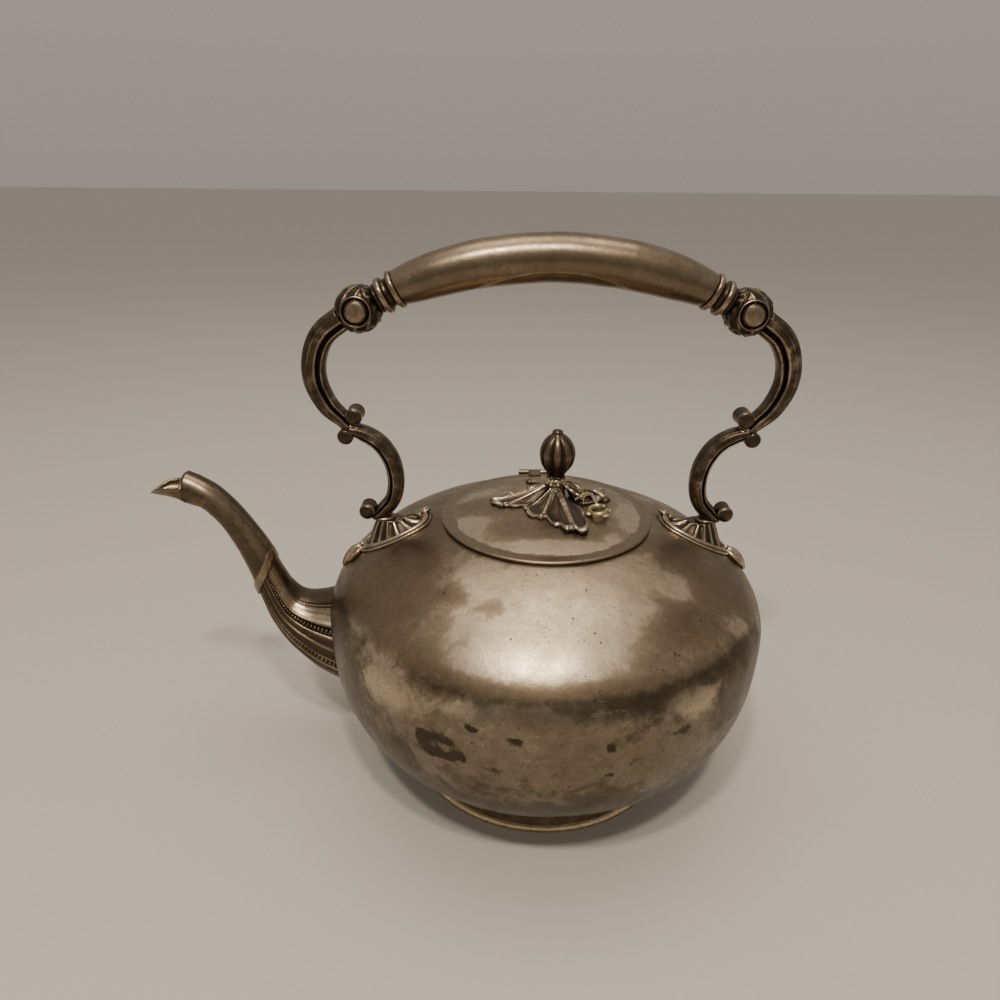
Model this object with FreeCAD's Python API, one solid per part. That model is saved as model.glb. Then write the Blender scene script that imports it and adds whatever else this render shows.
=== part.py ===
import FreeCAD, Part
import math
import os
from FreeCAD import Vector as V

# Kettle with a fixed overhead handle, a side spout and a hinged lid.
# The origin is the centre of the foot on the table, +Z up, the spout towards -X,
# the lid's hinge at +Y. All lengths are in millimetres.

# Body: two spun bowls joined at the belly, each wall outline one superellipse arc.
BELLY_R = 91.2
BELLY_Z = 75.8
UPPER_HEIGHT = 43.5
UPPER_POWER = 1.98
LOWER_HEIGHT = 66.9
LOWER_POWER = 2.91
WALL = 1.2
MOUTH_R = 39.8
SEAT_GAP = 0.1

# Foot ring.
FOOT_R = 60.0
FOOT_TOP_Z = 13.6
FOOT_WALL = 2.6

# Mouth collar, lid and bezel.
COLLAR_R = 43.0
COLLAR_BORE_R = 39.0
COLLAR_TOP_Z = 115.0
LID_R = 43.4
LID_SEAT_Z = 115.1
LID_EDGE = 1.1
LID_BORDER_R = 39.0
LID_RISE = 5.8
LID_LAND_R = 9.0
BEZEL_R = 37.4
BEZEL_WALL = 1.2
BEZEL_DEPTH = 7.0

# Finial on the lid.
FINIAL_X = 3.6
STUD_R = 1.5
FIT = 0.05
LEAF_TOP_Z = 129.6
LEAF_SLOPE_R = 34.0
LEAF_DROP = 13.0
LEAF_THICKNESS = 1.7
BOSS_R = 4.4
KNOT_R = 3.4
BUD_BASE_Z = 132.8
BUD_BASE_R = 3.3
BUD_R = 7.4
BUD_TOP_Z = 152.1
NUB_R = 2.0
FLOWER = V(25.5, -8.5, 121.0)
FLOWER_R = 4.4
WASHER_R = 4.6
WASHER_THICKNESS = 1.0
NUT_R = 3.4
NUT_HEIGHT = 2.6

# Lid hinge.
HINGE_X = -3.0
HINGE_Y = 45.6
HINGE_Z = 115.8
KNUCKLE_R = 1.35
HINGE_PIN_R = 0.65
HINGE_LENGTH = 14.6
HINGE_MIDDLE = 5.6
HINGE_SIDE_GAP = 0.15
SADDLE_FRONT_Y = 44.4
SADDLE_DEPTH = 6.6
SADDLE_TOP_Z = 114.1
WEB_HALF = 1.1
STRIP_FRONT_Y = 40.2
STRIP_THICKNESS = 0.9

# Handle grip: a tapering tube bent to one arc in the XZ plane.
GRIP_ARC_R = 153.2
GRIP_MID_Z = 217.0
GRIP_END_X = 57.0
GRIP_MID_D = 18.0
GRIP_END_D = 13.2
GRIP_WALL = 1.2
FERRULE_DROP = math.radians(27.0)
FERRULE_LENGTH = 8.5
BLOCK_LENGTH = 16.5
BLOCK_HALF = 7.4
BLOCK_CHAMFER = 2.6
BOSS_RING_R = 6.2
BOSS_DOME_R = 5.2

# Handle scrolls: x, z and width along the right-hand scroll, and the rolls at its ends (x, z, radius).
SCROLL_HALF = 4.0
SCROLL_GROOVE = 1.0
ROLL_PROUD = 0.4
SCROLL_JOINT_Z = 154.0
UPPER_SCROLL = [(86.2, 188.9, 9.5), (90.4, 180.3, 9.3), (90.8, 171.0, 9.0), (86.9, 161.8, 8.0),
                (80.6, 155.6, 6.4)]
UPPER_START_WIDTH = 9.4
UPPER_ROLL = (75.8, 158.0, 3.4)
LOWER_SCROLL = [(79.4, 150.6, 5.0), (73.4, 149.9, 6.2), (67.0, 145.6, 6.7), (62.8, 138.2, 6.8),
                (61.6, 129.8, 6.6), (63.2, 122.0, 6.3), (67.4, 116.4, 6.0)]
LOWER_ROLLS = [(80.2, 149.5, 3.3), (73.6, 117.0, 3.4)]

# Shoulder mounts under the handle scrolls.
MOUNT_TOP_Z = 112.9
MOUNT_FOOT_X = 67.7
MOUNT_BORDER = 2.2

# Spout.
SPOUT_WALL = 1.3
LIP_WALL = 1.1
STRAP_TOP = V(-115.2, 0, 97.1)
STRAP_FOOT = V(-124.5, 0, 78.5)
STRAP_WIDTH = 4.2
STRAP_PROUD = 0.7
OUTLET_R = 9.0
OUTLET_Z = 51.0
SOLDER_GAP = 0.1

# Spout centre line from the mouth down into the body: x, z, width across, width in Y.
SPOUT_SECTIONS = [
    (-147.5, 127.5, 12.0, 12.0),
    (-138.5, 121.5, 11.0, 12.0),
    (-131.5, 113.5, 10.5, 12.0),
    (-126.0, 104.0, 11.5, 12.5),
    (-122.5, 96.5, 12.5, 13.5),
    (-120.0, 89.5, 12.5, 15.0),
    (-118.0, 83.5, 13.5, 16.0),
    (-115.5, 77.0, 15.0, 18.5),
    (-111.0, 69.5, 20.0, 22.5),
    (-103.5, 63.5, 30.0, 27.5),
    (-93.0, 59.0, 42.0, 33.0),
    (-81.5, 56.0, 50.5, 37.0),
]

# Pouring lip, from inside the tube out to the tip: x, z, height, width in Y.
LIP_SECTIONS = [
    (-143.5, 124.3, 12.4, 12.0),
    (-149.0, 125.1, 9.8, 11.6),
    (-155.0, 125.1, 6.4, 8.6),
    (-160.0, 124.4, 3.6, 5.0),
    (-163.2, 123.4, 1.8, 1.8),
]

# Side view of what is cut away over the lip, from the hood round to the tip: x, z.
LIP_OPENING = [(-148.2, 130.8), (-146.8, 128.1), (-152.0, 127.3), (-157.0, 126.7), (-160.5, 125.2),
               (-165.0, 122.4), (-168.0, 138.0), (-149.0, 138.0)]


def solid_of_revolution(points, centre=V(0, 0, 0), axis=V(0, 0, 1)):
    """Turn a closed outline of straight edges about a vertical or given axis."""
    face = Part.Face(Part.makePolygon(points + [points[0]]))
    return face.revolve(centre, axis, 360)


def oval(centre, one, other):
    """Closed wire through an ellipse with the two given half axes."""
    points = []
    for i in range(16):
        angle = 2 * math.pi * i / 16
        points.append(centre + one * math.cos(angle) + other * math.sin(angle))
    curve = Part.BSplineCurve()
    curve.interpolate(points, PeriodicFlag=True)
    return Part.Wire(curve.toShape())


def shoulder_height(radius, grow=0.0):
    """Height of the upper body surface at a radius."""
    share = min(1.0, radius / (BELLY_R + grow))
    up = (1 - share ** UPPER_POWER) ** (1 / UPPER_POWER)
    return BELLY_Z + (UPPER_HEIGHT + grow) * up


def outline_point(angle, upper, grow=0.0):
    """Point of the body outline, from the belly at 0 to the axis at 90 degrees."""
    power = UPPER_POWER if upper else LOWER_POWER
    height = (UPPER_HEIGHT if upper else -LOWER_HEIGHT) + (grow if upper else -grow)
    radius = (BELLY_R + grow) * max(0.0, math.cos(angle)) ** (2 / power)
    return V(radius, 0, BELLY_Z + height * math.sin(angle) ** (2 / power))


def outline_curve(upper, grow=0.0, steps=14):
    """Smooth edge along the body outline, belly to axis."""
    points = [outline_point(math.pi / 2 * i / steps, upper, grow) for i in range(steps + 1)]
    curve = Part.BSplineCurve()
    up = V(0, 0, 1 if upper else -1)
    curve.interpolate(Points=points, InitialTangent=up, FinalTangent=V(-1, 0, 0))
    return curve.toShape()


def half_bowl(upper, grow=0.0):
    """Full solid of the upper or lower half of the body, out to the grown outline."""
    curve = outline_curve(upper, grow)
    end = curve.valueAt(curve.LastParameter)
    centre = V(0, 0, BELLY_Z)
    belly = V(BELLY_R + grow, 0, BELLY_Z)
    wire = Part.Wire([curve, Part.makeLine(end, centre), Part.makeLine(centre, belly)])
    return Part.Face(wire).revolve(V(0, 0, 0), V(0, 0, 1), 360)


def body_volume(grow=0.0):
    """Outer volume of the whole body, grown or shrunk evenly."""
    return half_bowl(True, grow).fuse(half_bowl(False, grow)).removeSplitter()


def body_shells():
    """The two bowls: the upper one open at the mouth, the lower one pierced for the spout."""
    upper = half_bowl(True).cut(half_bowl(True, -WALL))
    upper = upper.cut(Part.makeCylinder(MOUTH_R, 60, V(0, 0, BELLY_Z + 20)))
    lower = half_bowl(False).cut(half_bowl(False, -WALL)).cut(outlet_hole())
    return upper, lower


def outlet_hole():
    """Round bar that cuts the outlet through the wall behind the spout."""
    start = V(-BELLY_R + 20, 0, OUTLET_Z)
    return Part.makeCylinder(OUTLET_R, 30, start, V(-1, 0, 0))


def foot_ring():
    """Turned ring with a bead at the floor and a hollow neck up to the body."""
    outline = [
        V(FOOT_R - 3.5, 0, 0),
        V(FOOT_R - 0.8, 0, 0),
        V(FOOT_R, 0, 0.9),
        V(FOOT_R, 0, 1.7),
        V(FOOT_R - 0.7, 0, 2.6),
        V(FOOT_R - 1.6, 0, 3.0),
        V(FOOT_R - 3.0, 0, 4.6),
        V(FOOT_R - 4.0, 0, 7.0),
        V(FOOT_R - 4.4, 0, 10.0),
        V(FOOT_R - 4.2, 0, FOOT_TOP_Z + 1.5),
        V(FOOT_R - 4.2 - FOOT_WALL, 0, FOOT_TOP_Z + 1.5),
        V(FOOT_R - 4.4 - FOOT_WALL, 0, 8.0),
        V(FOOT_R - 5.0, 0, 3.0),
    ]
    return solid_of_revolution(outline).cut(half_bowl(False, SOLDER_GAP))


def mouth_collar():
    """Ring that stiffens the mouth and carries the lid."""
    ring = Part.makeCylinder(COLLAR_R, 3.6, V(0, 0, COLLAR_TOP_Z - 3.6))
    ring = ring.cut(half_bowl(True, SOLDER_GAP))
    sleeve = Part.makeCylinder(MOUTH_R - SOLDER_GAP, 6.0, V(0, 0, COLLAR_TOP_Z - 6.0))
    bore = Part.makeCylinder(COLLAR_BORE_R, 12, V(0, 0, COLLAR_TOP_Z - 9))
    return ring.fuse(sleeve).cut(bore).removeSplitter()


def dome_radius():
    return (LID_BORDER_R ** 2 + LID_RISE ** 2) / (2 * LID_RISE)


def lid_dome(grow=0.0):
    """Solid cap under the lid's dome, grown outwards."""
    radius = dome_radius()
    centre_z = LID_SEAT_Z + LID_EDGE + LID_RISE - radius
    ball = Part.makeSphere(radius + grow, V(0, 0, centre_z))
    return ball.common(Part.makeCylinder(LID_BORDER_R, 20, V(0, 0, LID_SEAT_Z)))


def lid_top_z():
    """Height of the flat land at the middle of the lid."""
    radius = dome_radius()
    drop = radius - math.sqrt(radius ** 2 - LID_LAND_R ** 2)
    return LID_SEAT_Z + LID_EDGE + LID_RISE - drop


def lid_cover():
    """Flat border, shallow dome and a flat land for the finial."""
    border = Part.makeCylinder(LID_R, LID_EDGE, V(0, 0, LID_SEAT_Z))
    border = border.makeFillet(0.45, border.Edges[:1])
    cover = border.fuse(lid_dome())
    cover = cover.cut(Part.makeBox(40, 40, 10, V(-20, -20, lid_top_z())))
    hollow = lid_dome(-WALL).common(Part.makeCylinder(BEZEL_R - 2, 20, V(0, 0, LID_SEAT_Z - 1)))
    hollow = hollow.cut(Part.makeBox(40, 40, 10, V(-20, -20, lid_top_z() - WALL)))
    return cover.cut(hollow).cut(stud_hole()).removeSplitter()


def lid_bezel():
    """Inner ring that drops into the collar."""
    ring = Part.makeCylinder(BEZEL_R, BEZEL_DEPTH, V(0, 0, LID_SEAT_Z - BEZEL_DEPTH))
    bore = Part.makeCylinder(BEZEL_R - BEZEL_WALL, 20, V(0, 0, LID_SEAT_Z - 12))
    return ring.cut(bore)


def stud_hole():
    return Part.makeCylinder(STUD_R + FIT, 60, V(FINIAL_X, 0, 90))


def finial_stud():
    """Threaded stud, drawn plain, from below the nut up into the bud."""
    foot = lid_top_z() - WALL - WASHER_THICKNESS - NUT_HEIGHT - 1.4
    return Part.makeCylinder(STUD_R, BUD_BASE_Z + 6.0 - foot, V(FINIAL_X, 0, foot))


def finial_washer():
    bottom = lid_top_z() - WALL - WASHER_THICKNESS
    return Part.makeCylinder(WASHER_R, WASHER_THICKNESS, V(FINIAL_X, 0, bottom)).cut(stud_hole())


def finial_nut():
    """Hexagonal nut under the washer."""
    bottom = lid_top_z() - WALL - WASHER_THICKNESS - NUT_HEIGHT
    corners = []
    for i in range(7):
        angle = math.radians(60 * i)
        corners.append(V(FINIAL_X + NUT_R * math.cos(angle), NUT_R * math.sin(angle), bottom))
    return Part.Face(Part.makePolygon(corners)).extrude(V(0, 0, NUT_HEIGHT)).cut(stud_hole())


def finial_bud():
    """Round pod that tapers to a small nub, threaded on the stud."""
    base = V(BUD_BASE_R, 0, BUD_BASE_Z)
    neck = V(NUB_R + 0.5, 0, BUD_TOP_Z - 1.9)
    side = Part.BSplineCurve()
    side.interpolate([base, V(5.9, 0, BUD_BASE_Z + 4.1), V(BUD_R, 0, BUD_BASE_Z + 9.4),
                      V(6.4, 0, BUD_BASE_Z + 12.9), neck])
    outline = [neck, V(NUB_R, 0, BUD_TOP_Z - 1.2), V(NUB_R - 0.5, 0, BUD_TOP_Z), V(0, 0, BUD_TOP_Z),
               V(0, 0, BUD_BASE_Z), base]
    wire = Part.Wire([side.toShape(), Part.makePolygon(outline)])
    bud = Part.Face(wire).revolve(V(0, 0, 0), V(0, 0, 1), 360)
    bud.translate(V(FINIAL_X, 0, 0))
    return bud.cut(Part.makeCylinder(STUD_R + FIT, 6.5, V(FINIAL_X, 0, BUD_BASE_Z - 0.1)))


def leaf_outline():
    """Plan of the leaf: pointed lobes at the given angles and reaches, notches between."""
    lobes = [(-12, 19), (-38, 24), (-72, 29), (-108, 22), (-150, 25), (-172, 29),
             (160, 20), (125, 21), (80, 18), (40, 20)]
    points = []
    for i, (angle, reach) in enumerate(lobes):
        after = lobes[(i + 1) % len(lobes)]
        turn = (after[0] - angle) % -360
        notch = 0.74 * min(reach, after[1])
        for share, r in ((-0.16, 0.93 * reach), (0.0, reach), (0.16, 0.93 * reach), (0.5, notch)):
            bearing = math.radians(angle + turn * share)
            points.append(V(r * math.cos(bearing), r * math.sin(bearing), 0))
    return points


def cone_under(apex_z):
    """Solid cone that falls from the leaf's middle to the lid."""
    foot = V(FINIAL_X, 0, apex_z - LEAF_DROP)
    return Part.makeCone(KNOT_R + LEAF_SLOPE_R, KNOT_R, LEAF_DROP, foot)


def curled_flower():
    """Ring with a heart and a web across it, and the tendril that joins it to the leaf."""
    ring = Part.makeTorus(FLOWER_R, 1.7, FLOWER, V(0.15, -0.2, 1))
    heart = Part.makeSphere(2.3, FLOWER + V(0, 0, 0.2))
    web = Part.makeCylinder(FLOWER_R + 0.2, 1.6, FLOWER - V(0, 0, 1))
    start = V(6, -3, 128.0)
    path = Part.BSplineCurve()
    path.interpolate([start, V(13, -6, 127.4), V(19, -7, 125.0), V(23, -5.5, 121.4)])
    end_ring = Part.Wire(Part.makeCircle(1.2, start, path.tangent(0)[0]))
    tendril = Part.Wire(path.toShape()).makePipeShell([end_ring], True, True)
    return [ring, heart, web, tendril]


def finial_leaf():
    """Leaf that falls as a tent from the bud's knot to the lid, with its curled flower."""
    plan = Part.Face(Part.makePolygon(leaf_outline() + leaf_outline()[:1]))
    prism = plan.extrude(V(0, 0, 30))
    prism.translate(V(FINIAL_X, 0, 110))
    blade = prism.common(cone_under(LEAF_TOP_Z).cut(cone_under(LEAF_TOP_Z - LEAF_THICKNESS)))
    boss = Part.makeCylinder(BOSS_R, LEAF_TOP_Z - 1.0 - lid_top_z(), V(FINIAL_X, 0, lid_top_z()))
    knot = Part.makeCylinder(KNOT_R, BUD_BASE_Z - LEAF_TOP_Z + 1.0, V(FINIAL_X, 0, LEAF_TOP_Z - 1.0))
    land = Part.makeCylinder(BOSS_R, 10, V(FINIAL_X, 0, lid_top_z()))
    leaf = blade.fuse([boss, knot] + curled_flower())
    return leaf.cut(lid_dome(0.15).cut(land)).cut(stud_hole()).removeSplitter()


def knuckle(x0, x1):
    bore = Part.makeCylinder(HINGE_PIN_R + FIT, x1 - x0, V(x0, HINGE_Y, HINGE_Z), V(1, 0, 0))
    return Part.makeCylinder(KNUCKLE_R, x1 - x0, V(x0, HINGE_Y, HINGE_Z), V(1, 0, 0)), bore


def hinge_body_leaf():
    """Two outer knuckles on a saddle soldered to the shoulder behind the collar."""
    middle = HINGE_MIDDLE / 2 + HINGE_SIDE_GAP
    half = HINGE_LENGTH / 2
    root = V(HINGE_X - half, SADDLE_FRONT_Y, SADDLE_TOP_Z - 8.0)
    leaf = Part.makeBox(2 * half, SADDLE_DEPTH, 8.0, root).cut(half_bowl(True, SOLDER_GAP))
    holes = []
    for x0, x1 in ((-half, -middle), (middle, half)):
        barrel, bore = knuckle(HINGE_X + x0, HINGE_X + x1)
        foot = V(HINGE_X + x0, HINGE_Y - WEB_HALF, SADDLE_TOP_Z - 0.4)
        web = Part.makeBox(x1 - x0, 2 * WEB_HALF, HINGE_Z - foot.z, foot)
        leaf = leaf.fuse([barrel, web])
        holes.append(bore)
    return leaf.cut(holes[0]).cut(holes[1]).removeSplitter()


def hinge_lid_leaf():
    """Middle knuckle on a strip soldered to the lid's border."""
    half = HINGE_MIDDLE / 2
    barrel, bore = knuckle(HINGE_X - half, HINGE_X + half)
    corner = V(HINGE_X - half, STRIP_FRONT_Y, LID_SEAT_Z + LID_EDGE)
    strip = Part.makeBox(2 * half, HINGE_Y - STRIP_FRONT_Y, STRIP_THICKNESS, corner)
    return barrel.fuse(strip).cut(bore).removeSplitter()


def hinge_pin():
    start = V(HINGE_X - HINGE_LENGTH / 2, HINGE_Y, HINGE_Z)
    return Part.makeCylinder(HINGE_PIN_R, HINGE_LENGTH, start, V(1, 0, 0))


def handle_axis():
    """Direction out and down from the grip's right-hand end."""
    return V(math.cos(FERRULE_DROP), 0, -math.sin(FERRULE_DROP))


def grip_solid(shrink):
    """Tapered bend between the two ferrules."""
    wires = []
    end_angle = math.asin(GRIP_END_X / GRIP_ARC_R)
    for share in (-1, -0.75, -0.5, -0.25, 0, 0.25, 0.5, 0.75, 1):
        angle = end_angle * share
        centre_z = GRIP_MID_Z - GRIP_ARC_R
        centre = V(GRIP_ARC_R * math.sin(angle), 0, centre_z + GRIP_ARC_R * math.cos(angle))
        lean = -angle if abs(share) < 1 else -math.copysign(FERRULE_DROP, share)
        diameter = GRIP_END_D + (GRIP_MID_D - GRIP_END_D) * (1 - share ** 4)
        normal = V(math.cos(lean), 0, math.sin(lean))
        wires.append(Part.Wire(Part.makeCircle(diameter / 2 - shrink, centre, normal)))
    return Part.makeLoft(wires, True)


def handle_grip():
    return grip_solid(0).cut(grip_solid(GRIP_WALL))


def grip_end():
    """Centre of the grip's end face."""
    angle = math.asin(GRIP_END_X / GRIP_ARC_R)
    return V(GRIP_END_X, 0, GRIP_MID_Z - GRIP_ARC_R + GRIP_ARC_R * math.cos(angle))


def along_handle(t):
    """Point t millimetres out and down from the grip's right-hand end."""
    return grip_end() + handle_axis() * t


def place_on_handle(shape, side):
    """Move a shape built along +Z from the origin onto the ferrule axis."""
    shape = shape.copy()
    shape.rotate(V(0, 0, 0), V(0, 1, 0), 90 + math.degrees(FERRULE_DROP))
    shape.translate(grip_end())
    return shape if side > 0 else shape.mirror(V(0, 0, 0), V(1, 0, 0))


def grip_ferrule(side):
    """Two beads with a scotia between them, and a neck."""
    outline = [V(0, 0, 0), V(6.3, 0, 0), V(7.1, 0, 0.5), V(7.3, 0, 1.2), V(7.0, 0, 2.0), V(6.0, 0, 2.6),
               V(5.6, 0, 3.6), V(5.9, 0, 4.6), V(6.7, 0, 5.3), V(6.9, 0, 6.1), V(6.6, 0, 6.9),
               V(5.7, 0, 7.6), V(5.6, 0, FERRULE_LENGTH), V(0, 0, FERRULE_LENGTH)]
    return place_on_handle(solid_of_revolution(outline), side)


def handle_knuckle(side):
    """Cushion-shaped block with a domed boss on each of its four sides."""
    half = BLOCK_HALF
    block = Part.makeBox(2 * half, 2 * half, BLOCK_LENGTH, V(-half, -half, FERRULE_LENGTH))
    edges = [e for e in block.Edges if abs(e.tangentAt(e.FirstParameter).z) > 0.9]
    block = block.makeChamfer(BLOCK_CHAMFER, edges)
    middle = FERRULE_LENGTH + BLOCK_LENGTH / 2
    for quarter in range(4):
        way = V(math.cos(math.pi / 2 * quarter), math.sin(math.pi / 2 * quarter), 0)
        ring = Part.makeCylinder(BOSS_RING_R, 1.2, way * (half - 0.2) + V(0, 0, middle), way)
        dome = Part.makeSphere(BOSS_DOME_R, way * (half - 3.6) + V(0, 0, middle))
        block = block.fuse([ring, dome])
    cap = Part.makeBox(60, 60, 60, V(-30, -30, FERRULE_LENGTH + BLOCK_LENGTH))
    base = Part.makeBox(60, 60, 60, V(-30, -30, FERRULE_LENGTH - 60))
    return place_on_handle(block.cut(cap).cut(base).removeSplitter(), side)


def ribbon(points, widths, half, groove):
    """Flat curved bar in the XZ plane, its two edges offset from a centre line."""
    outer = []
    inner = []
    for i, point in enumerate(points):
        before = points[max(i - 1, 0)]
        after = points[min(i + 1, len(points) - 1)]
        way = (after - before).normalize()
        across = V(way.z, 0, -way.x) * (widths[i] / 2)
        outer.append(point + across)
        inner.append(point - across)
    edges = []
    for line in (outer, inner[::-1]):
        curve = Part.BSplineCurve()
        curve.interpolate(line)
        edges.append(curve.toShape())
    edges.insert(1, Part.makeLine(outer[-1], inner[-1]))
    edges.append(Part.makeLine(inner[0], outer[0]))
    face = Part.Face(Part.Wire(edges))
    face.translate(V(0, -half, 0))
    bar = face.extrude(V(0, 2 * half, 0))
    if not groove:
        return bar
    for side in (-1, 1):
        channel = ribbon(points, [w * 0.3 for w in widths], half, False)
        channel.translate(V(0, side * (2 * half - groove), 0))
        bar = bar.cut(channel)
    return bar


def volute(x, z, radius):
    """Roll at the end of a scroll, with a raised eye on both faces."""
    half = SCROLL_HALF + ROLL_PROUD
    roll = Part.makeCylinder(radius, 2 * half, V(x, -half, z), V(0, 1, 0))
    eye = Part.makeCylinder(radius * 0.4, 2 * half + 1.6, V(x, -half - 0.8, z), V(0, 1, 0))
    return roll.fuse(eye)


def half_space(z, above):
    """Large block over or under a height, on the right-hand side."""
    size = 80
    return Part.makeBox(size, size, size, V(40, -size / 2, z if above else z - size))


def behind_plane(point):
    """Large block on the grip's side of a plane across the handle axis."""
    block = Part.makeBox(60, 60, 60, V(-30, -30, -60))
    block.rotate(V(0, 0, 0), V(0, 1, 0), 90 + math.degrees(FERRULE_DROP))
    block.translate(point)
    return block


def upper_scroll(side):
    """C scroll from the block down to where it meets the lower scroll."""
    start = along_handle(FERRULE_LENGTH + BLOCK_LENGTH)
    line = [start - handle_axis() * 0.8] + [V(x, 0, z) for x, z, width in UPPER_SCROLL]
    widths = [UPPER_START_WIDTH] + [width for x, z, width in UPPER_SCROLL]
    scroll = ribbon(line, widths, SCROLL_HALF, SCROLL_GROOVE).fuse(volute(*UPPER_ROLL))
    scroll = scroll.cut(half_space(SCROLL_JOINT_Z, False)).cut(behind_plane(start))
    return scroll if side > 0 else scroll.mirror(V(0, 0, 0), V(1, 0, 0))


def lower_scroll(side):
    """Smaller C scroll that stands on the shoulder mount."""
    line = [V(x, 0, z) for x, z, width in LOWER_SCROLL]
    bar = ribbon(line, [width for x, z, width in LOWER_SCROLL], SCROLL_HALF, SCROLL_GROOVE)
    rolls = [volute(*roll) for roll in LOWER_ROLLS]
    bridge = Part.makeBox(6.0, 6.0, 5.0, V(LOWER_ROLLS[0][0] - 4.6, -3.0, SCROLL_JOINT_Z - 4.8))
    foot = Part.makeBox(8.0, 6.4, 4.4, V(MOUNT_FOOT_X - 4.0, -3.2, MOUNT_TOP_Z))
    scroll = bar.fuse(rolls + [bridge, foot])
    scroll = scroll.cut(half_space(SCROLL_JOINT_Z, True)).cut(half_space(MOUNT_TOP_Z, False))
    return scroll if side > 0 else scroll.mirror(V(0, 0, 0), V(1, 0, 0))


def mount_plan():
    """Pear-shaped outline of a shoulder mount with its bud at the outer tip."""
    half = [(47.0, 0.0), (48.6, 6.0), (54.0, 10.2), (62.0, 11.6), (69.0, 10.2), (74.5, 7.0),
            (77.5, 4.2), (80.5, 4.6), (83.6, 3.8), (86.8, 0.0)]
    near = [V(x, -y, 80) for x, y in half]
    far = [V(x, y, 80) for x, y in half[-2:0:-1]]
    curve = Part.BSplineCurve()
    curve.interpolate(near + far, PeriodicFlag=True)
    return Part.Face(Part.Wire(curve.toShape()))


def handle_mount(side):
    """Bordered shield on the shoulder with a fluted mound up to the scroll's foot."""
    shield = mount_plan().extrude(V(0, 0, 50)).common(half_bowl(True, MOUNT_BORDER))
    slope = math.atan2(shoulder_height(77) - shoulder_height(50), 27)
    along = V(math.cos(slope), 0, math.sin(slope))
    foot = oval(V(61.5, 0, shoulder_height(61.5) - 1.0), along * 13.2, V(0, 9.6, 0))
    waist = oval(V(66.5, 0, 110.4), V(6.2, 0, 0), V(0, 5.4, 0))
    top = oval(V(MOUNT_FOOT_X, 0, MOUNT_TOP_Z), V(5.4, 0, 0), V(0, 4.6, 0))
    mound = Part.makeLoft([foot, waist, top], True, True)
    mount = shield.fuse(mound).cut(half_bowl(True, SOLDER_GAP))
    return mount if side > 0 else mount.mirror(V(0, 0, 0), V(1, 0, 0))


def spout_frame(i):
    """Unit direction of the spout's centre line at a section."""
    before = SPOUT_SECTIONS[max(i - 1, 0)]
    after = SPOUT_SECTIONS[min(i + 1, len(SPOUT_SECTIONS) - 1)]
    return V(after[0] - before[0], 0, after[1] - before[1]).normalize()


def spout_volume(shrink):
    """Loft through the spout's elliptical sections."""
    wires = []
    for i, (x, z, width, depth) in enumerate(SPOUT_SECTIONS):
        way = spout_frame(i)
        across = V(way.z, 0, -way.x) * (width / 2 - shrink)
        wires.append(oval(V(x, 0, z), across, V(0, depth / 2 - shrink, 0)))
    return Part.makeLoft(wires, True)


def strap_slab(low, high):
    """Slab across the spout, parallel to the oblique strap, between two offsets."""
    way = (STRAP_TOP - STRAP_FOOT).normalize()
    normal = V(-way.z, 0, way.x)
    middle = (STRAP_TOP + STRAP_FOOT) * 0.5
    slab = Part.makeBox(120, 120, high - low, V(-60, -60, low))
    turn = FreeCAD.Rotation(V(0, 0, 1), normal)
    slab.Placement = FreeCAD.Placement(middle, turn).multiply(slab.Placement)
    return slab


def lip_body(shrink):
    """Pointed pouring lip beyond the end of the tube."""
    wires = []
    for x, z, height, depth in LIP_SECTIONS:
        tall = max(height / 2 - shrink, 0.3)
        wide = max(depth / 2 - shrink, 0.3)
        wires.append(oval(V(x, 0, z), V(0, 0, tall), V(0, wide, 0)))
    return Part.makeLoft(wires, True)


def lip_opening():
    """Space over the lip, open to the sky."""
    corners = [V(x, -20, z) for x, z in LIP_OPENING]
    return Part.Face(Part.makePolygon(corners + corners[:1])).extrude(V(0, 40, 0))


def largest(shape):
    return max(shape.Solids, key=lambda solid: solid.Volume)


def spout_parts():
    """Fluted lower part, oblique strap and plain neck with its open lip."""
    reach = 60
    half = STRAP_WIDTH / 2
    tube = spout_volume(0)
    bore = spout_volume(SPOUT_WALL)
    base = tube.cut(bore).common(strap_slab(-reach, -half)).cut(body_volume(SOLDER_GAP))
    strap = spout_volume(-STRAP_PROUD).cut(bore).common(strap_slab(-half, half))
    neck = tube.common(strap_slab(half, reach)).fuse(lip_body(0))
    neck = neck.cut(bore).cut(lip_body(LIP_WALL)).cut(lip_opening())
    return largest(base), largest(strap), largest(neck)


def all_parts():
    upper, lower = body_shells()
    base, strap, neck = spout_parts()
    parts = {
        "body_upper_shell": upper,
        "body_lower_shell": lower,
        "foot_ring": foot_ring(),
        "mouth_collar": mouth_collar(),
        "spout_base": base,
        "spout_strap": strap,
        "spout_neck": neck,
        "handle_grip": handle_grip(),
        "lid_cover": lid_cover(),
        "lid_bezel": lid_bezel(),
        "finial_leaf": finial_leaf(),
        "finial_bud": finial_bud(),
        "finial_stud": finial_stud(),
        "finial_washer": finial_washer(),
        "finial_nut": finial_nut(),
        "hinge_body_leaf": hinge_body_leaf(),
        "hinge_lid_leaf": hinge_lid_leaf(),
        "hinge_pin": hinge_pin(),
    }
    for name, side in (("left", -1), ("right", 1)):
        parts["grip_ferrule_" + name] = grip_ferrule(side)
        parts["handle_knuckle_" + name] = handle_knuckle(side)
        parts["upper_scroll_" + name] = upper_scroll(side)
        parts["lower_scroll_" + name] = lower_scroll(side)
        parts["handle_mount_" + name] = handle_mount(side)
    return parts


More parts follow.
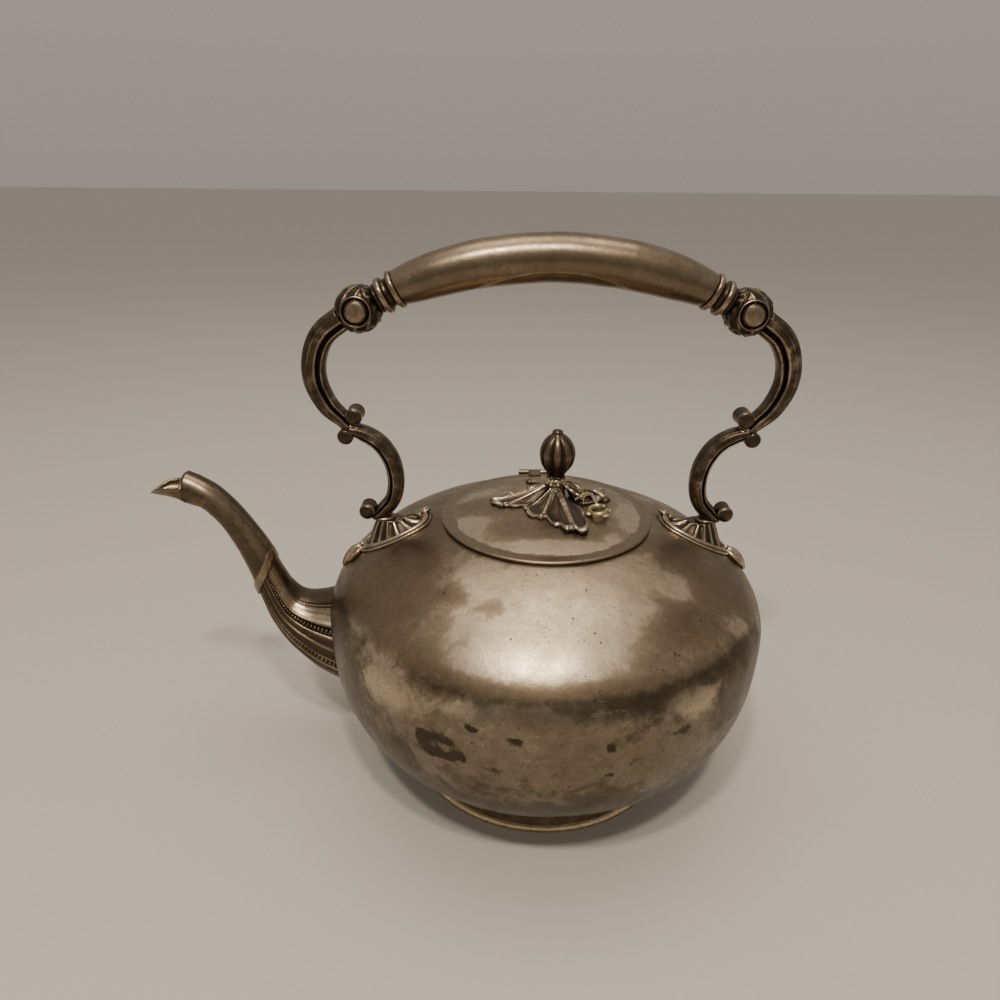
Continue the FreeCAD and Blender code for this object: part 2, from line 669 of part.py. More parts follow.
def main():
    os.makedirs("parts", exist_ok=True)
    for name, shape in all_parts().items():
        box = shape.BoundBox
        print(f"{name:22s} valid {shape.isValid()} solids {len(shape.Solids)} volume {shape.Volume:9.1f}"
              f"  x {box.XMin:7.1f} {box.XMax:7.1f}  y {box.YMin:6.1f} {box.YMax:6.1f}"
              f"  z {box.ZMin:6.1f} {box.ZMax:6.1f}")
        shape.exportStep(os.path.join("parts", name + ".step"))


main()
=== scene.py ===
import math

import bpy
import numpy as np
from mathutils import Matrix, Vector, noise


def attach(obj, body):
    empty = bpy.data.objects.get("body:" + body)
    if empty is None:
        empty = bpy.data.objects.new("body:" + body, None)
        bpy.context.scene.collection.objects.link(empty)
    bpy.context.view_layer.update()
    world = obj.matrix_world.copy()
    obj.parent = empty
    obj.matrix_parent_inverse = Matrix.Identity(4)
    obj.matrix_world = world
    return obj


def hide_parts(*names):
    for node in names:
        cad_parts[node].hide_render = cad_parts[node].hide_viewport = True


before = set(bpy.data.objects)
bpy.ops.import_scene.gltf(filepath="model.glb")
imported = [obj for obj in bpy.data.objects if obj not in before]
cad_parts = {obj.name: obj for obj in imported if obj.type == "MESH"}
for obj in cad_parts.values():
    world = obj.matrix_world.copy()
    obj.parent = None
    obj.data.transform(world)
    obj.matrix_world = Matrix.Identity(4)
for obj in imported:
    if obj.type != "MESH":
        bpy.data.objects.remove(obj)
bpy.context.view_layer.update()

MM = 0.001

# Everything below is worked out in millimetres in the row frame: +Z up, the spout
# towards -X, the lid's hinge at +Y, the table at z = 0.

BELLY_R, BELLY_Z = 91.2, 75.8
UPPER_H, UPPER_N = 43.5, 1.98
LOWER_H, LOWER_N = 66.9, 2.91
WALL = 1.2
MOUTH_R = 39.8
LID_R = 43.4
COLLAR_R = 43.0
BUD_Z = 132.8
BUD_TOP = 152.1
BORDER_R = 39.0
BORDER_Z = 116.2
LID_RISE = 5.8
FINIAL = np.array([3.6, 0.0])
LEAF_Z = 129.6


# ---------------------------------------------------------------- helpers

def unit(v):
    v = np.asarray(v, float)
    return v / np.linalg.norm(v)


def wobble(points, scale, seed, octaves=3):
    """Smooth noise in about -1 to 1 at each point, the same on every run."""
    shift = Vector((17.3 * seed, 5.1 * seed, -9.7 * seed))
    return np.array([noise.fractal(Vector(p) * scale + shift, 1.0, 2.0, octaves) for p in points])


def smooth_step(x, low, high):
    t = np.clip((np.asarray(x, float) - low) / (high - low), 0, 1)
    return t * t * (3 - 2 * t)


def bump(x, centre, width):
    return np.exp(-((np.asarray(x, float) - centre) / width) ** 2)


def catmull(points, per_span):
    """Smooth line through the points."""
    points = np.asarray(points, float)
    padded = np.vstack([2 * points[0] - points[1], points, 2 * points[-1] - points[-2]])
    line = []
    for i in range(len(points) - 1):
        p0, p1, p2, p3 = padded[i:i + 4]
        for k in range(per_span):
            t = k / per_span
            line.append(0.5 * (2 * p1 + (p2 - p0) * t + (2 * p0 - 5 * p1 + 4 * p2 - p3) * t ** 2
                               + (3 * p1 - p0 - 3 * p2 + p3) * t ** 3))
    line.append(points[-1])
    return np.array(line)


def resample(line, count):
    """The same line with evenly spaced points."""
    line = np.asarray(line, float)
    reach = np.r_[0, np.cumsum(np.linalg.norm(np.diff(line, axis=0), axis=1))]
    at = np.linspace(0, reach[-1], count)
    return np.column_stack([np.interp(at, reach, line[:, k]) for k in range(line.shape[1])])


def grid_faces(rows, cols, wrap_rows=False, wrap_cols=True, start=0):
    faces = []
    for i in range(rows if wrap_rows else rows - 1):
        for j in range(cols if wrap_cols else cols - 1):
            a, b = i * cols + j, i * cols + (j + 1) % cols
            c, d = (i + 1) % rows * cols + (j + 1) % cols, (i + 1) % rows * cols + j
            faces.append((start + a, start + b, start + c, start + d))
    return faces


class Shape:
    """Vertices, faces and a worn value (0 in a recess, 1 on a rubbed edge) gathered for one mesh."""

    def __init__(self):
        self.points, self.faces, self.worn = [], [], []

    def add(self, points, faces, worn=0.5):
        start = len(self.points)
        points = np.asarray(points, float).reshape(-1, 3)
        self.points.extend(points.tolist())
        self.faces.extend(tuple(start + i for i in f) for f in faces)
        self.worn.extend(np.broadcast_to(np.asarray(worn, float).reshape(-1), (len(points),)).tolist())
        return self

    def grid(self, points, wrap_rows=False, wrap_cols=True, worn=0.5, flip=False):
        points = np.asarray(points, float)
        faces = grid_faces(points.shape[0], points.shape[1], wrap_rows, wrap_cols)
        if flip:
            faces = [f[::-1] for f in faces]
        return self.add(points, faces, worn)

    def closed_tube(self, points, worn=0.5, flip=False):
        """Rings joined along the rows, with a fan over each end."""
        points = np.asarray(points, float)
        rows, cols = points.shape[:2]
        faces = grid_faces(rows, cols)
        flat = points.reshape(-1, 3)
        ends = np.array([points[0].mean(0), points[-1].mean(0)])
        first, last = rows * cols, rows * cols + 1
        faces += [(first, (j + 1) % cols, j) for j in range(cols)]
        tail = (rows - 1) * cols
        faces += [(last, tail + j, tail + (j + 1) % cols) for j in range(cols)]
        if flip:
            faces = [f[::-1] for f in faces]
        worn = np.broadcast_to(np.asarray(worn, float).reshape(-1), (rows * cols,))
        return self.add(np.vstack([flat, ends]), faces, np.r_[worn, worn[0], worn[-1]])

    def object(self, name, body, slot, material, replaces=(), smooth=True):
        mesh = bpy.data.meshes.new(name)
        mesh.from_pydata((np.array(self.points) * MM).tolist(), [], self.faces)
        mesh.validate()
        layer = mesh.attributes.new("worn", "FLOAT", "POINT")
        layer.data.foreach_set("value", self.worn)
        mesh.polygons.foreach_set("use_smooth", [smooth] * len(mesh.polygons))
        mesh.materials.append(material)
        mesh.update()
        piece = bpy.data.objects.new(name, mesh)
        bpy.context.scene.collection.objects.link(piece)
        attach(piece, body)
        if replaces:
            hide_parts(*replaces)
        return piece


def lathe(profile, segments, centre=(0, 0)):
    """Rings of an (r, z) outline about a vertical axis, as an array of rows by segments."""
    profile = np.asarray(profile, float)
    turn = np.linspace(0, 2 * math.pi, segments, endpoint=False)
    rings = np.empty((len(profile), segments, 3))
    rings[:, :, 0] = centre[0] + profile[:, :1] * np.cos(turn)
    rings[:, :, 1] = centre[1] + profile[:, :1] * np.sin(turn)
    rings[:, :, 2] = profile[:, 1:]
    return rings


def sphere(centre, radii, rings=10, segments=16, axes=None):
    """Points of a closed ball, as rows for Shape.closed_tube."""
    lat = np.linspace(-math.pi / 2 + 0.08, math.pi / 2 - 0.08, rings)
    lon = np.linspace(0, 2 * math.pi, segments, endpoint=False)
    local = np.empty((rings, segments, 3))
    local[:, :, 0] = np.cos(lat)[:, None] * np.cos(lon) * radii[0]
    local[:, :, 1] = np.cos(lat)[:, None] * np.sin(lon) * radii[1]
    local[:, :, 2] = np.sin(lat)[:, None] * radii[2]
    if axes is not None:
        local = local @ np.asarray(axes, float)
    return local + np.asarray(centre, float)


def tube_rings(line, radius, segments=16, flat=1.0, up=(0, 1, 0)):
    """Rings round a line; radius may vary, and flat scales the ring along its second direction."""
    line = np.asarray(line, float)
    radius = np.broadcast_to(radius, (len(line),))
    way = np.gradient(line, axis=0)
    way /= np.linalg.norm(way, axis=1)[:, None]
    turn = np.linspace(0, 2 * math.pi, segments, endpoint=False)
    rings = np.empty((len(line), segments, 3))
    side = None
    for i in range(len(line)):
        base = np.asarray(up, float) if side is None else side
        side = base - way[i] * (base @ way[i])
        if np.linalg.norm(side) < 1e-6:
            side = np.cross(way[i], (1, 0, 0))
        side = unit(side)
        other = np.cross(way[i], side)
        rings[i] = line[i] + radius[i] * (np.cos(turn)[:, None] * side + flat * np.sin(turn)[:,
                                                                                             None] * other)
    return rings


def shoulder_z(radius, grow=0.0):
    share = np.clip(np.asarray(radius, float) / (BELLY_R + grow), 0, 1)
    return BELLY_Z + (UPPER_H + grow) * (1 - share ** UPPER_N) ** (1 / UPPER_N)


def lid_z(radius):
    ball = (BORDER_R ** 2 + LID_RISE ** 2) / (2 * LID_RISE)
    centre = BORDER_Z + LID_RISE - ball
    radius = np.asarray(radius, float)
    dome = centre + np.sqrt(np.maximum(ball ** 2 - radius ** 2, 0))
    return np.where(radius < BORDER_R, dome, BORDER_Z)


# ---------------------------------------------------------------- materials

class Nodes:
    """Short-hand for one node tree."""

    def __init__(self, material):
        material.use_nodes = True
        self.tree = material.node_tree
        self.tree.nodes.clear()

    def new(self, kind, **settings):
        node = self.tree.nodes.new(kind)
        inputs = settings.pop("inputs", {})
        for key, value in settings.items():
            setattr(node, key, value)
        for key, value in inputs.items():
            if isinstance(value, bpy.types.NodeSocket):
                self.tree.links.new(value, node.inputs[key])
            else:
                node.inputs[key].default_value = value
        return node

    def math(self, operation, a, b=0.0, clamp=False):
        return self.new("ShaderNodeMath", operation=operation, use_clamp=clamp,
                        inputs={0: a, 1: b}).outputs[0]

    def noise(self, vector, scale, detail=4.0, rough=0.5, distortion=0.0):
        node = self.new("ShaderNodeTexNoise", inputs={
            "Vector": vector, "Scale": scale, "Detail": detail, "Roughness": rough,
            "Distortion": distortion})
        return node.outputs["Fac"]

    def ramp(self, value, stops):
        node = self.new("ShaderNodeValToRGB", inputs={0: value})
        points = node.color_ramp.elements
        while len(points) < len(stops):
            points.new(0.5)
        for point, (at, colour) in zip(points, stops):
            point.position = at
            point.color = (*colour, 1) if isinstance(colour, tuple) else (colour, colour, colour, 1)
        return node.outputs["Color"]

    def mix(self, share, a, b):
        node = self.new("ShaderNodeMix", data_type="RGBA")
        for key, value in (("Factor", share), ("A", a), ("B", b)):
            socket = [s for s in node.inputs if s.name == key and s.enabled][0]
            if isinstance(value, bpy.types.NodeSocket):
                self.tree.links.new(value, socket)
            else:
                socket.default_value = value if isinstance(value, float) else (*value[:3], 1)
        return [s for s in node.outputs if s.enabled][0]


# Share of the colour that the painted dark reflection takes away at its heaviest.
REFLECTION_DIMMING = 0.60


def silver(name, bright, dull, tarnish, spread, rough, relief=0.0, patch=28.0, tarnish_and_reflection=None, stain=None,
           dark_reflection=None, seed=0.0,
           grain=1.0):
    """Worn silver plate: rubbed metal, a dull skin and ragged brown tarnish.

    spread is how much of the piece the tarnish takes, rough its (rubbed, tarnished) roughness, relief how
    strongly the worn value drives the colour; tarnish_and_reflection moves the tarnish and painted
    reflections about, stain adds black stains and dark_reflection paints a dark reflection over a broad
    area; patch is the number of patches in a metre and grain the strength of the fine surface wear.
    """
    material = bpy.data.materials.new(name)
    n = Nodes(material)
    place = n.new("ShaderNodeTexCoord").outputs["Object"]
    moved = n.new("ShaderNodeMapping", inputs={"Vector": place,
                                               "Location": (seed, -seed, 2 * seed)}).outputs[0]
    worn = n.new("ShaderNodeAttribute", attribute_name="worn").outputs["Fac"]
    broad = n.noise(moved, patch, 7.0, 0.64, 0.7)
    ragged = n.noise(moved, patch * 6, 6.0, 0.65, 0.4)
    fine = n.noise(moved, 900.0, 4.0, 0.6)
    level = n.math("ADD", n.math("MULTIPLY", broad, 0.6), n.math("MULTIPLY", ragged, 0.4))
    # tarnish_and_reflection shifts the tarnish mask; on the body it also carries painted reflections.
    if tarnish_and_reflection:
        drift = n.new("ShaderNodeAttribute", attribute_name=tarnish_and_reflection).outputs["Fac"]
        level = n.math("ADD", level, n.math("MULTIPLY", n.math("SUBTRACT", drift, 0.5), 0.62))
    if relief:
        level = n.math("SUBTRACT", level, n.math("MULTIPLY", n.math("SUBTRACT", worn, 0.5), relief))
    mask = n.ramp(n.math("ADD", level, spread - 0.5), [(0.45, 0.0), (0.52, 0.6), (0.60, 0.85), (0.78, 1.0)])
    skin = n.mix(n.ramp(n.noise(moved, patch * 2.2, 6.0, 0.65), [(0.35, 0.0), (0.65, 1.0)]), bright, dull)
    mottle = n.ramp(n.noise(moved, patch * 11, 5.0, 0.7), [(0.40, 0.0), (0.62, 1.0)])
    skin = n.mix(n.math("MULTIPLY", mottle, 0.22 * grain), skin, tarnish)
    shade = n.mix(n.ramp(fine, [(0.35, 0.0), (0.7, 1.0)]), skin, n.mix(0.3, skin, tarnish))
    deep = n.mix(n.math("MULTIPLY", mottle, 0.35), tarnish, tuple(0.6 * c for c in tarnish))
    colour = n.mix(mask, shade, deep)
    # Painted dark reflection: the colour is scaled down where the dark_reflection attribute is high, with a
    # ragged edge from the noise.
    if dark_reflection:
        dim = n.new("ShaderNodeAttribute", attribute_name=dark_reflection).outputs["Fac"]
        uneven = n.math("ADD", n.math("SUBTRACT", broad, 0.5), n.math("SUBTRACT", ragged, 0.5))
        dim = n.math("ADD", dim, n.math("MULTIPLY", uneven, 0.9))
        dim = n.ramp(dim, [(0.30, 0.0), (0.62, 0.86), (1.0, 1.0)])
        keep = n.math("SUBTRACT", 1.0, n.math("MULTIPLY", dim, REFLECTION_DIMMING))
        colour = n.new("ShaderNodeVectorMath", operation="SCALE",
                       inputs={0: colour, "Scale": keep}).outputs[0]
    black = (0.022, 0.016, 0.011)
    if stain:
        spot = n.new("ShaderNodeAttribute", attribute_name=stain).outputs["Fac"]
        spot = n.math("ADD", spot, n.math("MULTIPLY", n.math("SUBTRACT", ragged, 0.5), 1.1))
        colour = n.mix(n.ramp(spot, [(0.36, 0.0), (0.50, 0.55), (0.74, 0.94)]), colour,
                       (0.045, 0.033, 0.022))
    pits = 0.0
    for scale, size, share in ((210.0, 0.10, 0.55), (430.0, 0.13, 0.52), (95.0, 0.045, 0.60)):
        cell = n.new("ShaderNodeTexVoronoi", inputs={"Vector": moved, "Scale": scale, "Randomness": 1.0})
        pick = n.noise(moved, scale * 0.3, 2.0, 0.5)
        pit = n.math("MULTIPLY", n.math("LESS_THAN", cell.outputs["Distance"], size),
                     n.math("GREATER_THAN", pick, share))
        pits = n.math("MAXIMUM", pits, pit)
    colour = n.mix(n.math("MULTIPLY", pits, 0.7 * grain), colour, black)
    scratches = 0.0
    for turn, scale in (((0.4, 0.9, 0.5), 16.0), ((1.3, 0.2, 2.1), 11.0)):
        line_map = n.new("ShaderNodeMapping", inputs={"Vector": moved, "Rotation": turn,
                                                      "Scale": (3.0, 30.0, 26.0)})
        line = n.ramp(n.noise(line_map.outputs[0], scale, 3.0, 0.7),
                      [(0.665, 0.0), (0.68, 1.0), (0.695, 0.0)])
        scratches = n.math("MAXIMUM", scratches, line)
    colour = n.mix(n.math("MULTIPLY", scratches, 0.16 * grain), colour,
                   tuple(min(1.0, 1.5 * c) for c in bright))
    roughness = n.math("ADD", n.math("MULTIPLY", mask, rough[1] - rough[0]), rough[0])
    roughness = n.math("ADD", roughness, n.math("MULTIPLY", n.math("SUBTRACT", ragged, 0.5), 0.34))
    roughness = n.math("ADD", roughness, n.math("MULTIPLY", n.math("SUBTRACT", fine, 0.5), 0.12),
                       clamp=True)
    height = n.math("ADD", n.math("MULTIPLY", fine, 0.5 * grain), n.math("MULTIPLY", scratches, -0.12))
    height = n.math("SUBTRACT", height, n.math("MULTIPLY", pits, 1.2))
    height = n.math("ADD", height, n.math("MULTIPLY", mask, 0.25))
    surface = n.new("ShaderNodeBump", inputs={"Strength": 0.22, "Distance": 0.00035,
                                              "Height": height}).outputs[0]
    shader = n.new("ShaderNodeBsdfPrincipled", inputs={
        "Base Color": colour, "Roughness": roughness, "Metallic": 0.94, "Normal": surface})
    n.new("ShaderNodeOutputMaterial", inputs={"Surface": shader.outputs[0]})
    return material


BODY = silver("aged_silver_body", (0.56, 0.465, 0.345), (0.43, 0.35, 0.25), (0.185, 0.135, 0.088), 0.5,
              (0.40, 0.36),
              patch=26.0, tarnish_and_reflection="tarnish_and_reflection", stain="stain", dark_reflection="dark_reflection")
LID = silver("aged_silver_lid", (0.60, 0.495, 0.36), (0.50, 0.41, 0.295), (0.26, 0.20, 0.135), 0.5,
             (0.40, 0.36),
             patch=34.0, tarnish_and_reflection="tarnish_and_reflection", seed=0.3)
FOOT = silver("brassy_foot", (0.84, 0.67, 0.40), (0.60, 0.46, 0.27), (0.10, 0.072, 0.045), 0.50,
              (0.30, 0.42),
              relief=1.1, patch=60.0, seed=0.7)
SPOUT = silver("aged_silver_spout", (0.42, 0.335, 0.235), (0.22, 0.168, 0.112), (0.075, 0.055, 0.036), 0.62,
               (0.30, 0.35), relief=0.85, patch=40.0, seed=1.1)
NECK = silver("dark_silver_neck", (0.26, 0.196, 0.132), (0.175, 0.13, 0.086), (0.085, 0.062, 0.04), 0.52,
              (0.30, 0.33),
              relief=1.0, patch=45.0, seed=1.6, grain=0.6)
GRIP = silver("dark_silver_grip", (0.28, 0.22, 0.155), (0.215, 0.167, 0.115), (0.15, 0.113, 0.075), 0.52,
              (0.30, 0.31),
              relief=0.4, patch=30.0, seed=2.2, grain=0.7)
SCROLL = silver("tarnished_scroll", (0.46, 0.365, 0.25), (0.19, 0.142, 0.093), (0.055, 0.04, 0.027), 0.62,
                (0.30, 0.36),
                relief=1.1, patch=70.0, seed=2.9, grain=0.8)
MOUNT = silver("shield_silver", (0.62, 0.51, 0.365), (0.38, 0.30, 0.205), (0.06, 0.044, 0.03), 0.50,
               (0.30, 0.42),
               relief=1.3, patch=80.0, seed=3.4)
LEAF = silver("leaf_silver", (0.72, 0.61, 0.45), (0.34, 0.27, 0.185), (0.10, 0.076, 0.054), 0.52,
              (0.27, 0.42),
              relief=1.35, patch=90.0, seed=4.0)
BUD = silver("bud_tarnish", (0.25, 0.185, 0.125), (0.15, 0.11, 0.073), (0.055, 0.04, 0.027), 0.58,
             (0.30, 0.34),
             relief=0.8, patch=90.0, seed=4.8, grain=0.6)
RESIDUE = silver("flower_gilt", (0.72, 0.62, 0.38), (0.55, 0.45, 0.26), (0.22, 0.165, 0.085), 0.45,
                 (0.30, 0.5),
                 relief=1.0, patch=120.0, seed=5.5)
HINGE = silver("hinge_silver", (0.46, 0.39, 0.29), (0.30, 0.245, 0.175), (0.10, 0.075, 0.052), 0.55,
               (0.32, 0.38),
               patch=120.0, seed=6.1)
INNER = silver("inner_brass", (0.62, 0.47, 0.24), (0.50, 0.37, 0.19), (0.22, 0.15, 0.08), 0.5, (0.32, 0.45),
               patch=150.0, seed=6.8)


# ---------------------------------------------------------------- body

def outline(upper, steps, grow=0.0, r_end=0.0):
    """(r, z) points from the belly towards the axis, as far as r_end."""
    power = UPPER_N if upper else LOWER_N
    height = (UPPER_H if upper else -LOWER_H) + (grow if upper else -grow)
    end = math.acos(min(1.0, r_end / (BELLY_R + grow)) ** (power / 2))
    angle = np.linspace(0, end, steps)
    return np.column_stack([(BELLY_R + grow) * np.cos(angle) ** (2 / power),
                            BELLY_Z + height * np.sin(angle) ** (2 / power)])


def body_profile():
    outer = np.vstack([outline(True, 70, r_end=MOUTH_R)[::-1], outline(False, 90, r_end=0.6)[1:]])
    inner = np.vstack([outline(True, 40, -WALL, MOUTH_R)[::-1], outline(False, 50, -WALL, 0.6)[1:]])
    return outer, inner


# Tarnish on the body: azimuth from the front in degrees, height, reach in degrees and mm, strength. The
# lighter blobs high on the front are partly a painted reflection of a bright ceiling, and the dark band at
# z 88 to 91 on the front is partly a painted reflection of a dark room.
BODY_TARNISH_AND_REFLECTIONS = [
    (-68, 95, 14, 17, 0.26), (-86, 108, 26, 10, 0.45), (-46, 101, 9, 6, 0.22), (-36, 93, 8, 4, 0.25),
    (66, 96, 18, 15, 0.34), (60, 107, 9, 6, 0.25), (-35, 107, 5, 1.6, 0.5), (-19, 107, 6, 1.6, 0.5),
    (-12, 90, 12, 2.6, 0.42), (9, 91, 10, 2.4, 0.42), (27, 88, 13, 3.4, 0.42), (-27, 89, 10, 3.2, 0.45),
    (38, 101, 12, 5, 0.50), (120, 80, 30, 22, 0.35), (180, 95, 40, 14, 0.25), (-130, 88, 26, 20, 0.40),
    (-95, 70, 18, 24, 0.35), (95, 84, 18, 20, 0.4), (60, 70, 20, 12, 0.35), (-64, 66, 14, 14, 0.30),
    (-56, 88, 7, 4, -0.35), (57, 92, 6, 4, -0.35), (70, 84, 7, 4, -0.30), (-70, 99, 7, 5, -0.30),
    (0, 109, 30, 7, -0.30), (-8, 99, 22, 6, -0.22), (22, 109, 20, 5, -0.22), (-38, 88, 5, 5, -0.30),
    (-5, 70, 50, 12, -0.20), (-30, 78.5, 14, 2.4, -0.35), (31, 84, 6, 5, -0.4), (45, 106, 6, 3, -0.35),
    (30, 58, 16, 8, -0.20),
]
# Black stains, in the same form.
BODY_STAINS = [
    (-29, 68.5, 2.4, 2.4, 1.7), (-28.0, 65.3, 1.6, 2.8, 1.7), (-25.6, 62.2, 3.2, 1.5, 1.6),
    (-22.0, 64.5, 1.6, 2.6, 1.5),
    (-23.8, 70.0, 1.8, 1.7, 1.6), (-18.6, 77.8, 1.5, 1.3, 1.3), (-8.6, 74.8, 2.6, 1.1, 1.1),
    (11.1, 72.9, 1.2, 1.2, 1.4),
    (17.8, 65.0, 2.2, 1.3, 0.8), (28.0, 71.8, 2.8, 2.4, 0.8), (12.5, 60.5, 1.6, 1.1, 0.9),
    (38, 88, 4.0, 2.5, 0.5),
    (-12, 61, 5.0, 1.6, 0.5), (3, 66, 2.2, 1.0, 0.6),
]
# Heights in mm between which the painted dark reflection on the lower body and the darker zone above the
# foot (more tarnish and more painted dark reflection) set in.
BODY_DARK_REFLECTION_Z = (93.0, 86.0)
BODY_FOOT_Z = (52.0, 24.0)
# Areas of the lower body kept lighter by leaving out the painted dark reflection, in the same form as the
# table above.
BODY_REFLECTION_GAPS = [(-40, 82, 13, 11, 0.70), (-24, 84, 7, 4, 0.35), (34, 80, 9, 5.5, 0.60), (70, 92, 12, 8, 0.40)]


def blobs(angle, height, table):
    """Sum of soft spots given as azimuth, height, reach in degrees, reach in mm and strength."""
    total = np.zeros(len(angle))
    for azimuth, z, wide, tall, strength in table:
        turn = (angle - azimuth + 180) % 360 - 180
        total = total + strength * np.exp(-((turn / wide) ** 2 + ((height - z) / tall) ** 2))
    return total


def add_values(piece, name, values):
    layer = piece.data.attributes.new(name, "FLOAT", "POINT")
    layer.data.foreach_set("value", values)


def make_body():
    """Outer skin with soft dents and the smooth lining, joined at the mouth's rim."""
    segments = 420
    outer, inner = body_profile()
    skin = lathe(outer, segments)
    flat = skin.reshape(-1, 3)
    outward = np.column_stack([flat[:, 0], flat[:, 1], (flat[:, 2] - BELLY_Z) * 1.4])
    outward /= np.linalg.norm(outward, axis=1)[:, None]
    waves = np.abs(wobble(flat, 0.018, 3.0, 2)) * 0.55 + np.abs(wobble(flat, 0.05, 8.0, 2)) * 0.2
    calm = smooth_step(flat[:, 2], 115.0, 110.0) * smooth_step(flat[:, 2], 12.0, 22.0)
    skin = (flat - outward * (waves * calm)[:, None]).reshape(skin.shape)
    loop = np.concatenate([lathe(inner, segments)[::-1], skin])
    shape = Shape().closed_tube(loop)
    points = np.array(shape.points)
    height = points[:, 2]
    angle = np.degrees(np.arctan2(points[:, 0], -points[:, 1]))
    # Tarnish with painted reflections from BODY_TARNISH_AND_REFLECTIONS, and more tarnish above the foot.
    tarnish_and_reflection = 0.5 + blobs(angle, height, BODY_TARNISH_AND_REFLECTIONS) + 0.8 * smooth_step(height, *BODY_FOOT_Z)
    # Painted dark reflection over the lower body and above the foot, lifted in BODY_REFLECTION_GAPS.
    dark_reflection = (smooth_step(height, *BODY_DARK_REFLECTION_Z) * (0.82 - blobs(angle, height, BODY_REFLECTION_GAPS))
             + 0.35 * smooth_step(height, *BODY_FOOT_Z))
    shift = wobble(points, 0.16, 2.0, 3)
    stains = blobs(angle + shift * 2.2, height + np.roll(shift, 7) * 1.6, BODY_STAINS)
    piece = shape.object("body", "kettle", "silver_body", BODY, ("body_upper_shell", "body_lower_shell"))
    add_values(piece, "tarnish_and_reflection", tarnish_and_reflection)
    add_values(piece, "stain", stains)
    add_values(piece, "dark_reflection", dark_reflection)


def make_foot():
    outer = catmull([(59.2, 0.0), (59.8, 0.45), (59.98, 1.2), (59.7, 2.0), (59.0, 2.6)], 5)
    cove = catmull([(58.3, 2.9), (57.2, 4.4), (56.3, 6.6), (55.8, 9.6), (55.7, 12.6), (55.8, 14.9)], 5)
    inner = catmull([(53.4, 14.4), (53.1, 9.0), (54.2, 4.0), (56.3, 0.0)], 5)
    profile = np.vstack([outer, cove, inner])
    worn = np.where(profile[:, 1] < 2.9, 0.95, 0.25)
    worn[profile[:, 0] < 55.0] = 0.1
    rings = lathe(profile, 240)
    Shape().grid(rings, wrap_rows=True, worn=np.repeat(worn, 240)).object(
        "foot", "kettle", "silver_foot", FOOT, ("foot_ring",))


def make_collar():
    top = COLLAR_R
    profile = [(39.1, 109.0), (39.1, 114.9), (39.3, 115.0), (top - 0.3, 115.0), (top, 114.8), (top, 113.9),
               (40.2, 114.6), (39.7, 114.2), (39.7, 109.0)]
    # The collar is given the dark scroll finish with a low worn value throughout: painted shade for the
    # dark gap under the lid's rim.
    Shape().grid(lathe(profile, 200), wrap_rows=True, worn=0.1, flip=True).object(
        "collar", "kettle", "silver_body", SCROLL, ("mouth_collar",))


# ---------------------------------------------------------------- lid

# Tarnish on the lid: x, y, reach in x, reach in y, strength.
LID_FILM = [
    (-22, -3, 15, 8, 0.60), (-6, -22, 15, 7, 0.66), (12, -22, 18, 7, 0.42), (16, -8, 16, 12, 0.40),
    (-30, 2, 6, 4, 0.30), (0, 26, 26, 10, 0.30), (24, -26, 4, 7, -0.30), (-32, -18, 8, 10, -0.45),
    (2, -34, 24, 3.5, -0.5), (33, -8, 6, 14, -0.40),
]


def lid_film(points):
    """Tarnish round the leaf, and all over the flat border outside a ragged line."""
    total = np.full(len(points), 0.5)
    for x, y, across, deep, strength in LID_FILM:
        total += strength * np.exp(-(((points[:, 0] - x) / across) ** 2 + ((points[:, 1] - y) / deep) ** 2))
    radius = np.hypot(points[:, 0], points[:, 1]) + 0.9 * wobble(points, 0.12, 6.0, 3)
    return total + 0.9 * smooth_step(radius, 38.4, 39.4)


def make_lid():
    """Shallow dome and flat border with a rounded edge, and the lining inside."""
    dome = [(r, float(lid_z(r))) for r in np.linspace(0.4, 38.6, 54)]
    edge = catmull([(39.2, 116.16), (41.0, 116.12), (42.3, 116.1), (LID_R - 0.5, 116.05),
                    (LID_R - 0.07, 115.75),
                    (LID_R - 0.02, 115.45), (LID_R - 0.2, 115.15)], 4)
    under = [(LID_R - 0.5, 115.1), (37.0, 115.1), (35.4, 115.15), (35.3, 116.2), (34.0, 116.5)]
    roof = [(r, float(lid_z(r)) - WALL) for r in np.linspace(33, 0.4, 20)]
    profile = np.vstack([dome, edge, under, roof])
    rings = lathe(profile, 280)
    flat = rings.reshape(-1, 3)
    radius = np.hypot(flat[:, 0], flat[:, 1])
    sag = np.abs(wobble(flat, 0.03, 5.0, 2)) * 0.25 * smooth_step(radius, 40, 30) * smooth_step(radius, 3,
                                                                                                9)
    flat[:, 2] -= sag
    shape = Shape().closed_tube(flat.reshape(rings.shape), flip=True)
    piece = shape.object("lid", "lid", "silver_lid", LID, ("lid_cover",))
    add_values(piece, "tarnish_and_reflection", lid_film(np.array(shape.points)))
    bezel = [(36.3, 108.1), (36.2, 115.05), (37.4, 115.05), (37.4, 108.4), (37.1, 108.1)]
    Shape().grid(lathe(bezel, 160), wrap_rows=True, worn=0.3, flip=True).object(
        "lid_rim_inside", "lid", "silver_lid", HINGE, ("lid_bezel",))


